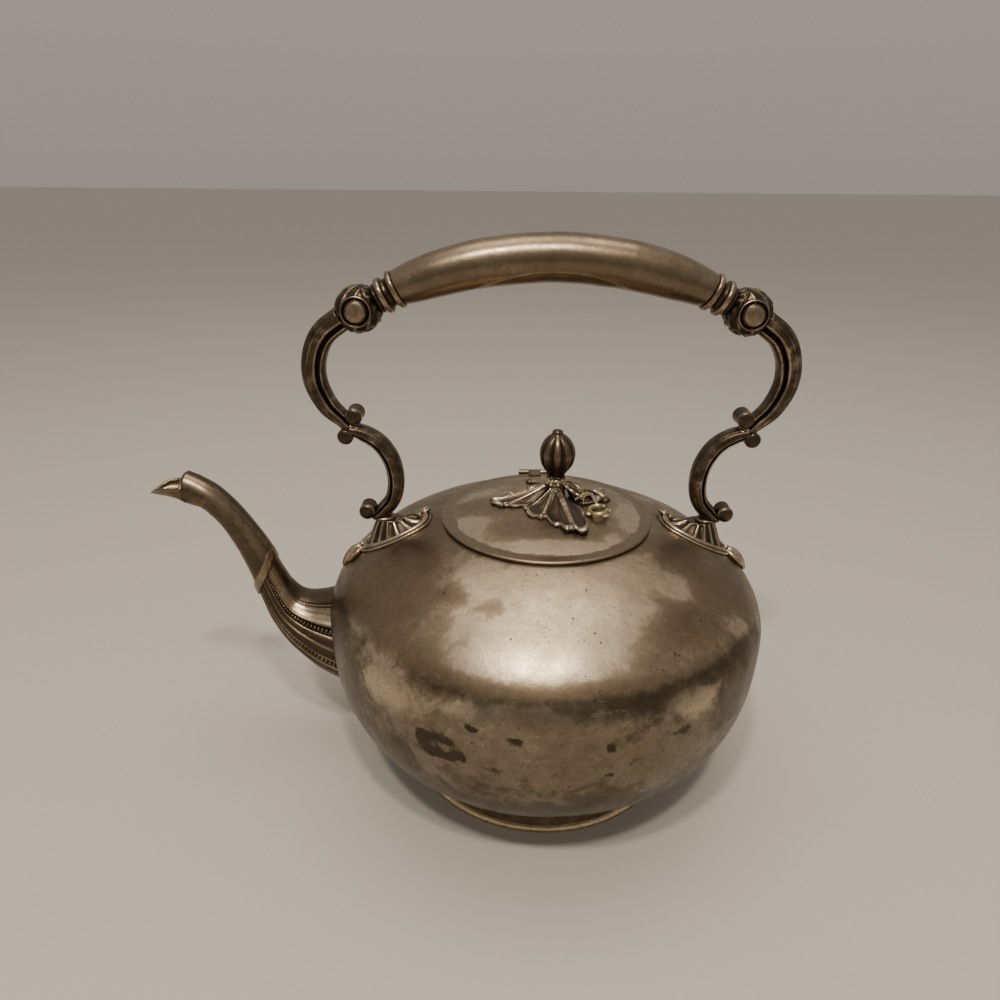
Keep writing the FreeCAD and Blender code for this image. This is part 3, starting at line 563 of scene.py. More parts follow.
def make_bud():
    """Round pod with ten uneven ribs and a small nub, on a knot with sepals."""
    profile = catmull([(3.0, BUD_Z), (4.3, BUD_Z + 1.9), (5.85, BUD_Z + 4.1), (6.9, BUD_Z + 6.4),
                       (7.4, BUD_Z + 9.4), (7.2, BUD_Z + 10.9), (6.5, BUD_Z + 12.8), (5.3, BUD_Z + 14.9),
                       (3.6, BUD_Z + 16.7), (2.5, BUD_Z + 17.4), (2.2, BUD_Z + 18.0), (2.0, BUD_Z + 18.8),
                       (1.3, BUD_TOP - 0.05), (0.3, BUD_TOP)], 6)
    segments = 200
    rings = lathe(profile, segments)
    turn = np.linspace(0, 2 * math.pi, segments, endpoint=False)
    rib = np.abs(np.sin(turn * 5 + 0.35 + 0.25 * np.sin(2 * turn))) ** 0.5
    height = rings[:, 0, 2] - BUD_Z
    depth = 0.14 * smooth_step(height, 0.0, 5.0) * smooth_step(height, 18.2, 15.0) + 0.05
    scale = 1 - depth[:, None] * (1 - rib[None, :])
    rings[:, :, :2] *= scale[:, :, None]
    rings[:, :, 0] += FINIAL[0] + 0.3 * np.sin(height * 0.17)[:, None]
    worn = (0.1 + 0.75 * rib[None, :] ** 3) * (0.35 + 0.65 * smooth_step(height, 1.0, 10.0))[:, None]
    Shape().closed_tube(rings, worn.reshape(-1), flip=False).object(
        "bud", "lid", "dark_finial", BUD, ("finial_bud",))
    sepals = Shape()
    for i in range(8):
        a = 2 * math.pi * i / 8 + 0.2
        way = np.array([math.cos(a), math.sin(a), 0])
        base = np.array([FINIAL[0], 0, LEAF_Z])
        line = [base + way * 3.6 + (0, 0, -0.6), base + way * 2.9 + (0, 0, 0.8),
                base + way * 2.7 + (0, 0, 2.0),
                base + way * (3.3 + 0.5 * (i % 2)) + (0, 0, 3.3)]
        rings = tube_rings(catmull(line, 5), np.linspace(1.25, 0.7, 16), 10, 0.7, up=(0, 0, 1))
        sepals.closed_tube(rings, np.repeat(np.linspace(0.9, 0.35, 16), 10))
    knot = tube_rings([(FINIAL[0] + 3.0 * math.cos(t), 3.0 * math.sin(t),
                        LEAF_Z + 0.9 + 0.5 * math.sin(3 * t))
                       for t in np.linspace(0, 2 * math.pi, 60)], 0.85, 10, up=(0, 0, 1))
    sepals.grid(knot[:-1], wrap_rows=True, worn=0.85)
    sepals.closed_tube(lathe([(2.6, LEAF_Z - 1.0), (2.9, LEAF_Z + 0.5), (2.6, LEAF_Z + 2.0),
                              (3.0, BUD_Z + 0.1)],
                             40, FINIAL), 0.3)
    sepals.object("sepals", "lid", "silver_finial", LEAF)


def leaf_blade(shape, origin, corners, veins, apex_z, edge_z, scallops, curl=0.9, thick=0.9):
    """A fan of leaf about its stalk. corners are (bearing in degrees, reach), and veins are
    (bearing, width in mm at the stalk, share of that width left at the tip)."""
    bearing = np.array([c[0] for c in corners], float)
    reach = np.array([c[1] for c in corners], float)
    columns, rows = 190, 44
    angle = np.linspace(bearing[0], bearing[-1], columns)
    limit = np.interp(angle, *np.array(sorted(zip(bearing, reach))).T)
    kernel = np.hanning(7)
    limit = np.convolve(np.r_[[limit[0]] * 3, limit, [limit[-1]] * 3], kernel / kernel.sum(), "valid")
    share = (angle - angle[0]) / (angle[-1] - angle[0])
    lobes = np.abs(np.sin(share * math.pi * scallops))
    limit = limit * (0.95 + 0.07 * lobes ** 0.6)
    rho = np.linspace(0.02, 1, rows)[:, None]
    r = rho * limit
    x = origin[0] + r * np.cos(np.radians(angle))
    y = origin[1] + r * np.sin(np.radians(angle))
    floor = lid_z(np.hypot(x, y))
    fall = apex_z - (apex_z - edge_z) * (1 - (1 - rho) ** 1.25) - 0.4 * np.sin(math.pi * rho)
    ridge = np.zeros((rows, columns))
    lace = np.zeros((rows, columns))
    for at, width, left in veins:
        offset = (angle - at)[None, :] * np.radians(1) * r
        spread = 0.5 * width * (1 - (1 - left) * rho)
        ridge += np.exp(-(offset / spread) ** 4)
        phase = (r - np.abs(offset) * 1.2) / 2.6
        lace += 0.35 * np.exp(-(offset / 4.5) ** 2) * (0.5 + 0.5 * np.cos(2 * math.pi * phase)) ** 5
    ridge = np.clip(ridge, 0, 1)
    rim = np.exp(-((rho - 0.94) / 0.06) ** 2) * np.ones(columns)
    z = fall + 0.7 * ridge + 0.16 * lace - 0.45 * (1 - ridge) * rho
    z = z + curl * rim * (0.4 + 0.6 * lobes[None, :])
    z = np.maximum(z, floor + 0.75 + thick * 0.2)
    top = np.stack([x, y, z], axis=2)
    bottom = top.copy()
    bottom[:, :, 2] = np.maximum(z - thick, floor + 0.05)
    worn = 0.10 + 0.72 * ridge * (0.45 + 0.55 * rho) + 0.22 * lace + 0.95 * rim * (0.5 + 0.5 * lobes)
    loop = np.concatenate([top, bottom[::-1]])
    tone = np.concatenate([np.clip(worn, 0, 1), np.full(worn.shape, 0.1)])
    start = len(shape.points)
    flip = angle[-1] < angle[0]
    shape.grid(loop, wrap_rows=True, wrap_cols=False, worn=tone.reshape(-1), flip=flip)
    last = 2 * rows - 1
    for j, other in ((0, flip), (columns - 1, not flip)):
        for i in range(rows - 1):
            near, far = start + i * columns + j, start + (i + 1) * columns + j
            below, under = start + (last - 1 - i) * columns + j, start + (last - i) * columns + j
            shape.faces.append((near, far, below, under) if other else (under, below, far, near))


def make_leaf():
    """Four blades about the knot: the large front one, one to the left and two behind."""
    shape = Shape()
    leaf_blade(shape, (1.6, 0.6), [(-208, 8), (-198, 13), (-188, 21), (-180, 25.0), (-174, 24.0),
                                   (-166, 22.5),
                                   (-158, 18.8), (-148, 15.0), (-138, 9)],
               [(-178, 2.6, 0.5), (-161, 1.2, 0.3), (-192, 1.0, 0.4)], LEAF_Z - 0.6, 121.4, 7)
    leaf_blade(shape, (8.0, 1.5), [(62, 6), (48, 10), (32, 16.5), (24, 19.5), (12, 18), (-2, 15.0),
                                   (-20, 11.5), (-40, 8)],
               [(26, 1.6, 0.5), (2, 1.0, 0.2)], LEAF_Z - 1.6, 121.6, 5)
    leaf_blade(shape, (2.5, 1.0), [(158, 7), (140, 12), (124, 17), (112, 18.5), (98, 17), (80, 14),
                                   (60, 8)],
               [(112, 1.4, 0.5)], LEAF_Z - 1.0, 121.2, 5)
    leaf_blade(shape, (3.6, -1.4), [(-232, 6.0), (-216, 11.0), (-202, 13.0), (-186, 12.8), (-168, 13.4),
                                    (-152, 14.8),
                                    (-138, 16.6), (-124, 18.0), (-112, 17.8), (-107, 15.4), (-102, 18.0),
                                    (-95, 22.4),
                                    (-89, 20.8), (-84, 25.4), (-79, 24.6), (-73, 28.6), (-66, 27.2),
                                    (-60, 22.5),
                                    (-48, 16.5), (-37, 12.6), (-28, 8)],
               [(-76, 3.4, 0.5), (-113, 2.2, 0.7), (-146, 0.9, 0.35)],
               LEAF_Z - 0.2, 120.9, 9, curl=1.6)
    foot = lathe(catmull([(4.6, 121.9), (4.2, 124.0), (3.7, 127.0), (3.5, LEAF_Z - 0.2),
                          (2.6, LEAF_Z + 0.3),
                          (1.6, LEAF_Z + 0.3)], 4), 40, FINIAL)
    shape.grid(foot, worn=0.3)
    shape.object("leaf", "lid", "silver_finial", LEAF, ("finial_leaf",))


def make_flower():
    """A curled flower on the right with its leafy calyx, the stems and two knobs behind."""
    shape = Shape()
    ring = [(20.2 + 3.5 * math.cos(t), -10.6 + 4.6 * math.sin(t), 121.9 + 0.6 * math.sin(t + 2))
            for t in np.linspace(0.6, 2 * math.pi - 0.15, 40)]
    shape.closed_tube(tube_rings(ring, 1.25 - 0.3 * np.linspace(-1, 1, 40) ** 2, 12, 0.8, up=(0, 0, 1)),
                      np.tile(0.55 + 0.45 * np.cos(np.linspace(0, 2 * math.pi, 12, endpoint=False)), 40))
    for bearing, size in ((-150, 2.0), (-60, 2.2), (10, 1.6)):
        way = np.array([math.cos(math.radians(bearing)), math.sin(math.radians(bearing)), 0])
        centre = np.array([20.2, -10.6, 121.5]) + way * 4.2
        shape.closed_tube(sphere(centre, (size, size * 0.7, 0.8)), 0.8)
    shape.object("flower", "lid", "silver_finial", RESIDUE)
    stalks = Shape()
    calyx = [(13.4, -2.4, 123.6), (15.6, -0.6, 124.2), (18.4, 1.6, 123.6), (19.6, -2.4, 122.8),
             (20.4, -6.0, 122.2)]
    stalks.closed_tube(tube_rings(catmull(calyx, 6), np.linspace(1.3, 0.6, 25), 10, up=(0, 0, 1)), 0.85)
    for tip in ((11.4, -4.4, 123.6), (17.6, 5.0, 123.8), (19.6, 3.4, 123.2), (14.6, -6.6, 122.8)):
        line = [(15.2, -1.0, 123.4), tuple(0.5 * np.array((15.2, -1.0, 124.0)) + 0.5 * np.array(tip)), tip]
        stalks.closed_tube(tube_rings(catmull(line, 5), np.linspace(1.3, 0.4, 11), 10, 0.6, up=(0, 0, 1)),
                           0.9)
    for line, size in (
        ([(6.4, 2.0, 130.0), (9.6, 3.8, 129.0), (12.0, 3.4, 127.0), (14.2, 2.8, 125.4), (17.4, 4.6, 124.4),
          (20.6, 5.4, 123.4), (24.2, 2.4, 122.0)], 1.05),
        ([(1.6, 1.6, 129.8), (-2.0, 2.6, 127.6), (-5.2, 3.4, 125.8), (-8.8, 1.6, 124.3),
          (-12.6, -0.4, 123.2)], 0.9),
        ([(3.4, 3.0, 129.6), (1.0, 8.0, 126.4), (-1.8, 13.4, 123.8), (-4.8, 17.6, 122.4),
          (-6.2, 18.6, 121.8)], 0.95),
        ([(7.4, -1.0, 128.2), (10.2, -2.0, 126.4), (13.4, -2.4, 124.4)], 0.9),
    ):
        path = resample(catmull(line, 6), 40)
        knots = size * (1 + 0.22 * np.sin(np.linspace(0, 5 * math.pi, 40)))
        stalks.closed_tube(tube_rings(path, knots * np.linspace(1.0, 0.75, 40), 10, up=(0, 0, 1)), 0.9)
    stalks.closed_tube(sphere((-6.2, 18.6, 121.9), (1.9, 1.5, 1.3)), 0.25)
    stalks.closed_tube(sphere((24.6, 0.2, 121.6), (2.0, 1.7, 1.3)), 0.1)
    stalks.object("tendrils", "lid", "silver_finial", LEAF)


# ---------------------------------------------------------------- spout

# Centre line from the mouth to the body: x, z, width across, width in y.
SPOUT_SECTIONS = np.array([
    (-147.8, 126.2, 13.6, 12.2), (-144.0, 124.6, 12.9, 12.1), (-138.5, 121.5, 11.0, 12.0),
    (-131.5, 113.5, 10.5, 12.0), (-126.0, 104.0, 11.5, 12.5), (-122.5, 96.5, 12.5, 13.5),
    (-120.0, 89.5, 12.5, 15.0), (-118.0, 83.5, 13.5, 16.0), (-115.5, 77.0, 15.0, 18.5),
    (-111.0, 69.5, 20.0, 22.5), (-103.5, 63.5, 30.0, 27.5), (-93.0, 59.0, 42.0, 33.0),
    (-81.5, 56.0, 50.5, 37.0),
])
STRAP_TOP = np.array([-115.2, 97.1])
STRAP_FOOT = np.array([-124.5, 78.5])
STRAP_HALF = 2.0
# Wall of the fluted part, and rows of points over which the mouth's ring turns upright.
SPOUT_WALL = 2.2
UPRIGHT_ROWS = 40


def spout_line():
    line = catmull(SPOUT_SECTIONS, 20)
    way = np.gradient(line[:, :2], axis=0)
    way /= np.linalg.norm(way, axis=1)[:, None]
    # the last ring at the mouth stands upright, the ones behind it lean over gradually
    upright = smooth_step(np.arange(len(line)), UPRIGHT_ROWS, 0)[:, None]
    way = way * (1 - upright) + np.array([0.98, -0.2]) * upright
    way /= np.linalg.norm(way, axis=1)[:, None]
    return line, way


LINE, WAY = spout_line()


def spout_point(s, turn, inset=0.0):
    """Point on the spout for a place s along its line and an angle from its upper edge."""
    x = np.interp(s, range(len(LINE)), LINE[:, 0])
    z = np.interp(s, range(len(LINE)), LINE[:, 1])
    across = np.interp(s, range(len(LINE)), LINE[:, 2]) / 2 - inset
    deep = np.interp(s, range(len(LINE)), LINE[:, 3]) / 2 - inset
    wx = np.interp(s, range(len(LINE)), WAY[:, 0])
    wz = np.interp(s, range(len(LINE)), WAY[:, 1])
    c = np.cos(turn)
    return np.stack([x - wz * across * c, -deep * np.sin(turn), z + wx * across * c], axis=-1)


def strap_offset(points):
    """Distance from the oblique plane of the strap, positive towards the mouth."""
    along = unit(STRAP_TOP - STRAP_FOOT)
    normal = np.array([-along[1], along[0]])
    middle = (STRAP_TOP + STRAP_FOOT) / 2
    return (points[..., 0] - middle[0]) * normal[0] + (points[..., 2] - middle[1]) * normal[1]


def body_gap(points):
    """Rough distance outside the body's surface."""
    radius = np.hypot(points[..., 0], points[..., 1]) / BELLY_R
    t = (points[..., 2] - BELLY_Z)
    power = np.where(t > 0, UPPER_N, LOWER_N)
    height = np.where(t > 0, UPPER_H, LOWER_H)
    level = radius ** power + np.abs(t / height) ** power
    return (level ** (1 / power) - 1) * 60.0


def find_place(test, turn, low, high):
    """Place along the spout where test changes from positive to negative, for each angle."""
    low = np.full(len(turn), float(low))
    high = np.full(len(turn), float(high))
    for _ in range(40):
        middle = (low + high) / 2
        positive = test(spout_point(middle, turn)) > 0
        low = np.where(positive, middle, low)
        high = np.where(positive, high, middle)
    return (low + high) / 2


# Flutes of the lower spout: angle from the upper edge in degrees, relief in mm, worn value.
FLUTES = np.array([
    (0, 0.0, 0.50), (22, 0.0, 0.45), (28, -0.25, 0.25), (30.5, -1.05, 0.0), (32.5, -0.15, 0.95),
    (34, -0.15, 0.95),
    (36, -0.95, 0.05), (38, -0.2, 0.9), (40.5, -0.5, 0.75), (49, -0.85, 0.85), (57.5, -0.6, 0.75),
    (61.5, -0.1, 0.95), (64, -0.1, 0.7), (66, -1.25, 0.0), (74, -1.25, 0.0), (76.5, -0.1, 0.95),
    (78.5, -0.1, 0.7),
    (81, -0.5, 0.35), (85, -0.75, 0.33), (89, -0.5, 0.35), (91, -0.05, 0.8), (93, -0.1, 0.65),
    (96, -0.9, 0.03),
    (102, -0.9, 0.03), (105, -0.2, 0.5), (107.5, -0.1, 0.85), (109, -1.1, 0.0), (115, -1.1, 0.0),
    (117.5, -0.1, 0.7),
    (120.5, -0.1, 0.85), (123, -0.7, 0.05), (128, -0.45, 0.3), (131, -0.05, 0.6), (134, -0.1, 0.45),
    (137, -0.7, 0.0),
    (143, -0.15, 0.5), (147, -0.2, 0.4), (150, -0.65, 0.0), (157, -0.1, 0.45), (162, -0.15, 0.35),
    (165, -0.5, 0.0),
    (172, -0.1, 0.4), (180, 0.0, 0.35),
])
BEAD_ROWS = (70.0, 112.0)


def fold(turn):
    degrees = np.degrees(turn) % 360
    return np.minimum(degrees, 360 - degrees)


def flute_relief(turn):
    angle = fold(turn)
    return np.interp(angle, FLUTES[:, 0], FLUTES[:, 1]), np.interp(angle, FLUTES[:, 0], FLUTES[:, 2])


def make_spout_base():
    """Fluted lower spout from the strap to the body, with rows of beads in two of its channels on each
    side.
    """
    columns, rows = 620, 90
    turn = np.linspace(0, 2 * math.pi, columns, endpoint=False)
    start = find_place(lambda p: strap_offset(p) + STRAP_HALF * 0.6, turn, 60, 200)
    stop = find_place(lambda p: body_gap(p) + 0.35, turn, 120, len(LINE) - 1)
    relief, worn = flute_relief(turn)
    share = np.linspace(0, 1, rows)[:, None]
    place = start + (stop - start) * share
    width = np.interp(place, range(len(LINE)), LINE[:, 2])
    inset = -relief * np.clip(width / 30, 0.40, 1.1)
    turns = np.broadcast_to(turn, place.shape)
    outer = spout_point(place, turns, inset)
    inner = spout_point(place, turns, SPOUT_WALL + 0 * place)
    loop = np.concatenate([outer, inner[::-1]])
    tone = np.concatenate([np.broadcast_to(worn, place.shape), np.full(place.shape, 0.2)])
    Shape().grid(loop, wrap_rows=True, worn=tone.reshape(-1), flip=True).object(
        "spout_base", "kettle", "silver_spout", SPOUT, ("spout_base",))
    beads = Shape()
    for row, run_in in zip(BEAD_ROWS, (6.0, 26.0)):
        for side in (1, -1):
            angle = np.array([math.radians(row) * side])
            place = find_place(lambda p: strap_offset(p) + STRAP_HALF, angle, 60, 200)[0] + run_in
            high = find_place(lambda p: body_gap(p) - 0.6, angle, 120, len(LINE) - 1)[0]
            while place < high:
                size = 0.48 + 0.010 * np.interp(place, range(len(LINE)), LINE[:, 2])
                centre = spout_point(place, angle[0], size * 0.5 + 0.25)
                beads.closed_tube(sphere(centre, (size, size, size), 8, 12), 0.55)
                step = spout_point(place + 1.0, angle[0]) - spout_point(place, angle[0])
                place += 2.1 * size / np.linalg.norm(step)
    beads.object("spout_beads", "kettle", "silver_spout", SPOUT)


def make_spout_strap():
    columns = 160
    turn = np.linspace(0, 2 * math.pi, columns, endpoint=False)
    rows = []
    tone = []
    for k in np.linspace(-math.pi / 2, 3 * math.pi / 2, 24, endpoint=False):
        offset = STRAP_HALF * math.sin(k)
        rise = 1.15 * max(0.0, math.cos(k)) ** 0.5 if math.cos(k) > 0 else 0.9 * math.cos(k)
        place = find_place(lambda p: strap_offset(p) - offset, turn, 60, 200)
        lift = rise * (0.75 + 0.25 * np.cos(turn + math.pi))
        rows.append(spout_point(place, turn, -lift))
        tone.append(np.full(columns, 0.95 * max(0.0, math.cos(k)) ** 0.8))
    Shape().grid(np.array(rows), wrap_rows=True, worn=np.array(tone).reshape(-1), flip=True).object(
        "spout_strap", "kettle", "silver_spout", SPOUT, ("spout_strap",))


# Pouring lip: x, rim height, bottom height, half width.
LIP = np.array([
    (-147.8, 128.0, 119.3, 6.1), (-150.5, 127.5, 120.7, 6.1), (-153.5, 127.3, 121.9, 5.9),
    (-156.8, 127.0, 122.5, 4.9), (-158.8, 126.3, 122.6, 3.6), (-160.8, 124.9, 122.8, 2.0),
    (-162.6, 123.7, 123.1, 0.6),
])
RIM_STEP = 20


NOSE_REACH = np.array([-2.4, 0.0, -2.7])

NOSE_ROWS = 6


def hood_nose(edge, turn):
    """Rings that round the hood over from the tube's end, the last one its free edge."""
    low = math.cos(turn.max())
    share = ((np.cos(turn) - low) / (1 - low))[:, None]
    reach = share * NOSE_REACH + (1 - share) * np.array([-0.3, 0.0, 0.0])
    rings = []
    for t in np.linspace(0, math.pi / 2, NOSE_ROWS + 1)[1:]:
        move = reach * np.array([math.sin(t), 1.0, 1 - math.cos(t)])
        move[:, 1] = -0.05 * edge[:, 1] * math.sin(t) * share[:, 0]
        rings.append(edge + move)
    return np.array(rings)


def lip_rows(edge, columns):
    """Rows of the open trough from the tube's end to the tip."""
    stations = catmull(LIP, 7)
    rim_angle = math.radians(360 / columns * RIM_STEP)
    rows = []
    for i, (x, rim, low, half) in enumerate(stations):
        opening = rim_angle + (math.pi / 2 - rim_angle) * min(1, i / 12)
        tall = (rim - low) / (1 + math.cos(opening))
        wide = half / math.sin(opening)
        spread = np.linspace(opening, 2 * math.pi - opening, len(edge))
        rows.append(np.column_stack([
            np.full(len(spread), x), -wide * np.sin(spread), low + tall + tall * np.cos(spread)]))
    rows = np.array(rows)
    blend = 6
    for i in range(blend):
        rows[i] = rows[i] * (i / blend) + (edge + rows[i] - rows[0]) * (1 - i / blend)
    return rows[1:]


def add_rows(shape, base, rows, flip):
    """Join rows of new points onto existing points of the shape, given by their numbers."""
    start = len(shape.points)
    shape.points.extend(rows.reshape(-1, 3).tolist())
    shape.worn.extend([0.5] * (rows.shape[0] * rows.shape[1]))
    numbers = np.vstack([base, start + np.arange(rows.shape[0] * rows.shape[1]).reshape(rows.shape[:2])])
    for near, far in zip(numbers[:-1], numbers[1:]):
        for j in range(len(near) - 1):
            face = (int(near[j]), int(far[j]), int(far[j + 1]), int(near[j + 1]))
            shape.faces.append(face[::-1] if flip else face)


def make_spout_neck():
    """Plain neck with a rounded hood and a pointed open lip, and the bead round its rim."""
    columns = 96
    turn = np.linspace(0, 2 * math.pi, columns, endpoint=False)
    stop = find_place(lambda p: strap_offset(p) - STRAP_HALF * 0.6, turn, 60, 200)
    place = stop * (1 - np.linspace(0, 1, 100)[:, None])
    turns = np.broadcast_to(turn, place.shape)
    tube = spout_point(place, turns, -0.3 * smooth_step(place, 12, 60))
    # The worn value rises in a band about 40 degrees round from the neck's upper edge on both sides: a
    # painted highlight line along the neck.
    shape = Shape().grid(tube, worn=np.broadcast_to(0.42 + 0.3 * bump(fold(turn), 40, 25),
                                                    place.shape).reshape(-1),
                         flip=True)
    base = (len(tube) - 1) * columns
    lower = np.arange(RIM_STEP, columns - RIM_STEP + 1)
    upper = np.r_[columns - RIM_STEP:columns, 0:RIM_STEP + 1]
    trough = lip_rows(tube[-1][lower], columns)
    nose = hood_nose(tube[-1][upper], np.radians(fold(turn[upper])))
    add_rows(shape, base + lower, trough, False)
    add_rows(shape, base + upper, nose, False)
    piece = shape.object("spout_neck", "kettle", "silver_spout", NECK, ("spout_neck",))
    wall = piece.modifiers.new("wall", "SOLIDIFY")
    wall.thickness = 1.1 * MM
    wall.offset = -1.0
    loop = np.vstack([nose[-1], trough[:, 0], trough[::-1, -1]])
    loop = resample(np.vstack([loop, loop[:1]]), 220)[:-1]
    inward = np.clip((loop[:, 0] + 163.2) / 14.0, 0, 1)
    radius = 0.38 + 0.34 * inward
    centre = loop - np.column_stack([0 * radius, 0 * radius, 0.4 * radius])
    Shape().grid(tube_rings(centre, radius, 12, up=(0, 0, 1)), wrap_rows=True, worn=0.85).object(
        "spout_rim", "kettle", "silver_spout", NECK)


# ---------------------------------------------------------------- handle

GRIP_R, GRIP_TOP, GRIP_END_X = 153.2, 217.0, 57.0
DROP = math.radians(27.0)
FERRULE = 8.5
BLOCK = 16.5


def grip_end():
    angle = math.asin(GRIP_END_X / GRIP_R)
    return np.array([GRIP_END_X, 0, GRIP_TOP - GRIP_R + GRIP_R * math.cos(angle)])


def on_handle(points, side):
    """Local points, with +Z along the ferrule axis and +X up and out, placed at a grip end."""
    points = np.asarray(points, float)
    along = np.array([math.cos(DROP), 0, -math.sin(DROP)])
    up = np.array([math.sin(DROP), 0, math.cos(DROP)])
    sideways = np.array([0, 1, 0])
    placed = grip_end() + points[..., 2:3] * along + points[..., 0:1] * up + points[..., 1:2] * sideways
    return placed * np.array([side, 1, 1])


def make_grip():
    """Tapering bend with shallow dents and a soldered seam low on its front."""
    rows, columns = 170, 200
    end = math.asin(GRIP_END_X / GRIP_R)
    share = np.linspace(-1, 1, rows)
    turn = np.linspace(0, 2 * math.pi, columns, endpoint=False)
    rings = np.empty((rows, columns, 3))
    outward = np.empty((rows, columns, 3))
    seam = np.empty((rows, columns))
    for i, u in enumerate(share):
        angle = end * u
        lean = angle + (math.copysign(DROP, u) - angle) * smooth_step(abs(u), 0.94, 1.0)
        radius = (13.1 + 4.75 * (1 - abs(u) ** 4)) / 2
        centre = np.array([GRIP_R * math.sin(angle), 0, GRIP_TOP - GRIP_R + GRIP_R * math.cos(angle)])
        up = np.array([math.sin(lean), 0, math.cos(lean)])
        outward[i] = np.cos(turn)[:, None] * up - np.sin(turn)[:, None] * np.array([0, 1, 0])
        rings[i] = centre + radius * outward[i]
        seam_turn = math.radians(119 + 34 * (centre[0] / 31) ** 2)
        seam[i] = bump((turn - seam_turn) * radius, 0, 0.45) * smooth_step(abs(centre[0]), 34, 28)
    flat = rings.reshape(-1, 3)
    normal = outward.reshape(-1, 3)
    dents = np.abs(wobble(flat, 0.04, 11.0, 2)) * 0.28
    flat += normal * (0.15 * seam.reshape(-1) * (1 + 0.5 * wobble(flat, 0.3, 4.0, 2)) - dents)[:, None]
    # The upward-facing side is made lighter as painted top light; the seam is lighter as rubbed metal.
    worn = 0.35 + 0.3 * smooth_step(normal[:, 2], -0.3, 0.8) + 0.35 * seam.reshape(-1)
    Shape().closed_tube(flat.reshape(rings.shape), np.clip(worn, 0, 1), flip=True).object(
        "grip", "kettle", "silver_handle", GRIP, ("handle_grip",))


def make_ferrule(side, name):
    profile = catmull([(5.6, 0.0), (6.9, 0.25), (7.25, 1.1), (6.95, 2.0), (6.1, 2.4)], 5).tolist()
    profile += catmull([(5.75, 2.6), (5.35, 3.5), (5.6, 4.5)], 5).tolist()
    profile += catmull([(6.0, 4.65), (6.75, 5.3), (6.9, 6.1), (6.6, 6.9), (5.9, 7.3)], 5).tolist()
    profile += catmull([(5.6, 7.5), (5.5, 8.0), (5.6, 8.6)], 4).tolist()
    profile = np.array(profile)
    rings = lathe(profile, 90)
    worn = np.clip((profile[:, 0] - 5.3) / 1.7, 0, 1) ** 1.5
    placed = on_handle(rings, side)
    Shape().closed_tube(placed, np.repeat(worn, 90), flip=side < 0).object(
        "ferrule_" + name, "kettle", "silver_handle", SCROLL, ("grip_ferrule_" + name,))


# Bosses on a block: direction round it in degrees, size, how far they stand out.
BLOCK_BOSSES = ((90, 1.0, 0.0), (270, 1.0, 0.0), (0, 0.72, -0.5), (180, 0.72, -0.5))


def make_block(side, name):
    """Cushion block: a round body with fluted ends, curled bands and a domed boss on each side."""
    shape = Shape()
    lat = np.linspace(-math.pi / 2 + 0.02, math.pi / 2 - 0.02, 90)
    lon = np.linspace(0, 2 * math.pi, 160, endpoint=False)
    power = 2 / 2.6
    c, s = np.cos(lon), np.sin(lon)
    flat = np.cos(lat)[:, None] ** power
    x = flat * np.sign(c) * np.abs(c) ** power * 8.1
    y = flat * np.sign(s) * np.abs(s) ** power * 7.9
    z = np.broadcast_to((np.sign(np.sin(lat)) * np.abs(np.sin(lat)) ** power)[:, None] * 8.35, x.shape)
    reach = np.sqrt(x ** 2 + y ** 2 + z ** 2)
    ends = smooth_step(np.abs(z), 5.6, 6.6)
    flutes = (0.5 + 0.5 * np.cos(lon * 12))[None, :] * ends
    swirl = np.sin(4 * lon[None, :] + 0.55 * z + 0.8 * np.sin(2 * lon)[None, :])
    bands = (1 - np.abs(swirl)) ** 3 * (1 - ends)
    groove = 0.55 * bump(np.abs(z), 5.5, 0.4)
    local_scale = 1 + (0.45 * bands - 0.4 * flutes - groove) / reach
    middle = FERRULE + BLOCK / 2
    local = np.stack([x * local_scale, y * local_scale, z * local_scale + middle], axis=2)
    tone = np.clip(0.3 + 0.65 * bands - 0.3 * flutes - 0.8 * groove + 0.3 * ends, 0, 1)
    shape.closed_tube(on_handle(local, side), tone.reshape(-1), flip=side < 0)
    turn = np.linspace(0, 2 * math.pi, 48, endpoint=False)
    outline = catmull([(5.7, 6.0), (5.75, 7.5), (5.4, 8.05), (4.95, 7.9), (4.6, 7.4), (4.45, 7.7),
                       (4.1, 8.45),
                       (3.1, 9.05), (1.7, 9.35), (0.15, 9.4)], 5)
    for bearing, size, out in BLOCK_BOSSES:
        a = math.radians(bearing)
        way = np.array([math.cos(a), math.sin(a), 0])
        across = np.array([-math.sin(a), math.cos(a), 0])
        circle = np.cos(turn)[None, :, None] * across + np.sin(turn)[None, :, None] * np.array([0, 0, 1.0])
        rings = (np.array([0, 0, middle]) + (outline[:, 1] + out)[:, None, None] * way
                 + size * outline[:, 0][:, None, None] * circle)
        tone = 0.8 * bump(outline[:, 0], 5.4, 0.3) + 0.75 * smooth_step(outline[:, 0], 4.4, 3.2)
        shape.closed_tube(on_handle(rings, side), np.repeat(np.clip(tone, 0.0, 1), 48), flip=side > 0)
    shape.object("block_" + name, "kettle", "dark_silver", SCROLL, ("handle_knuckle_" + name,))


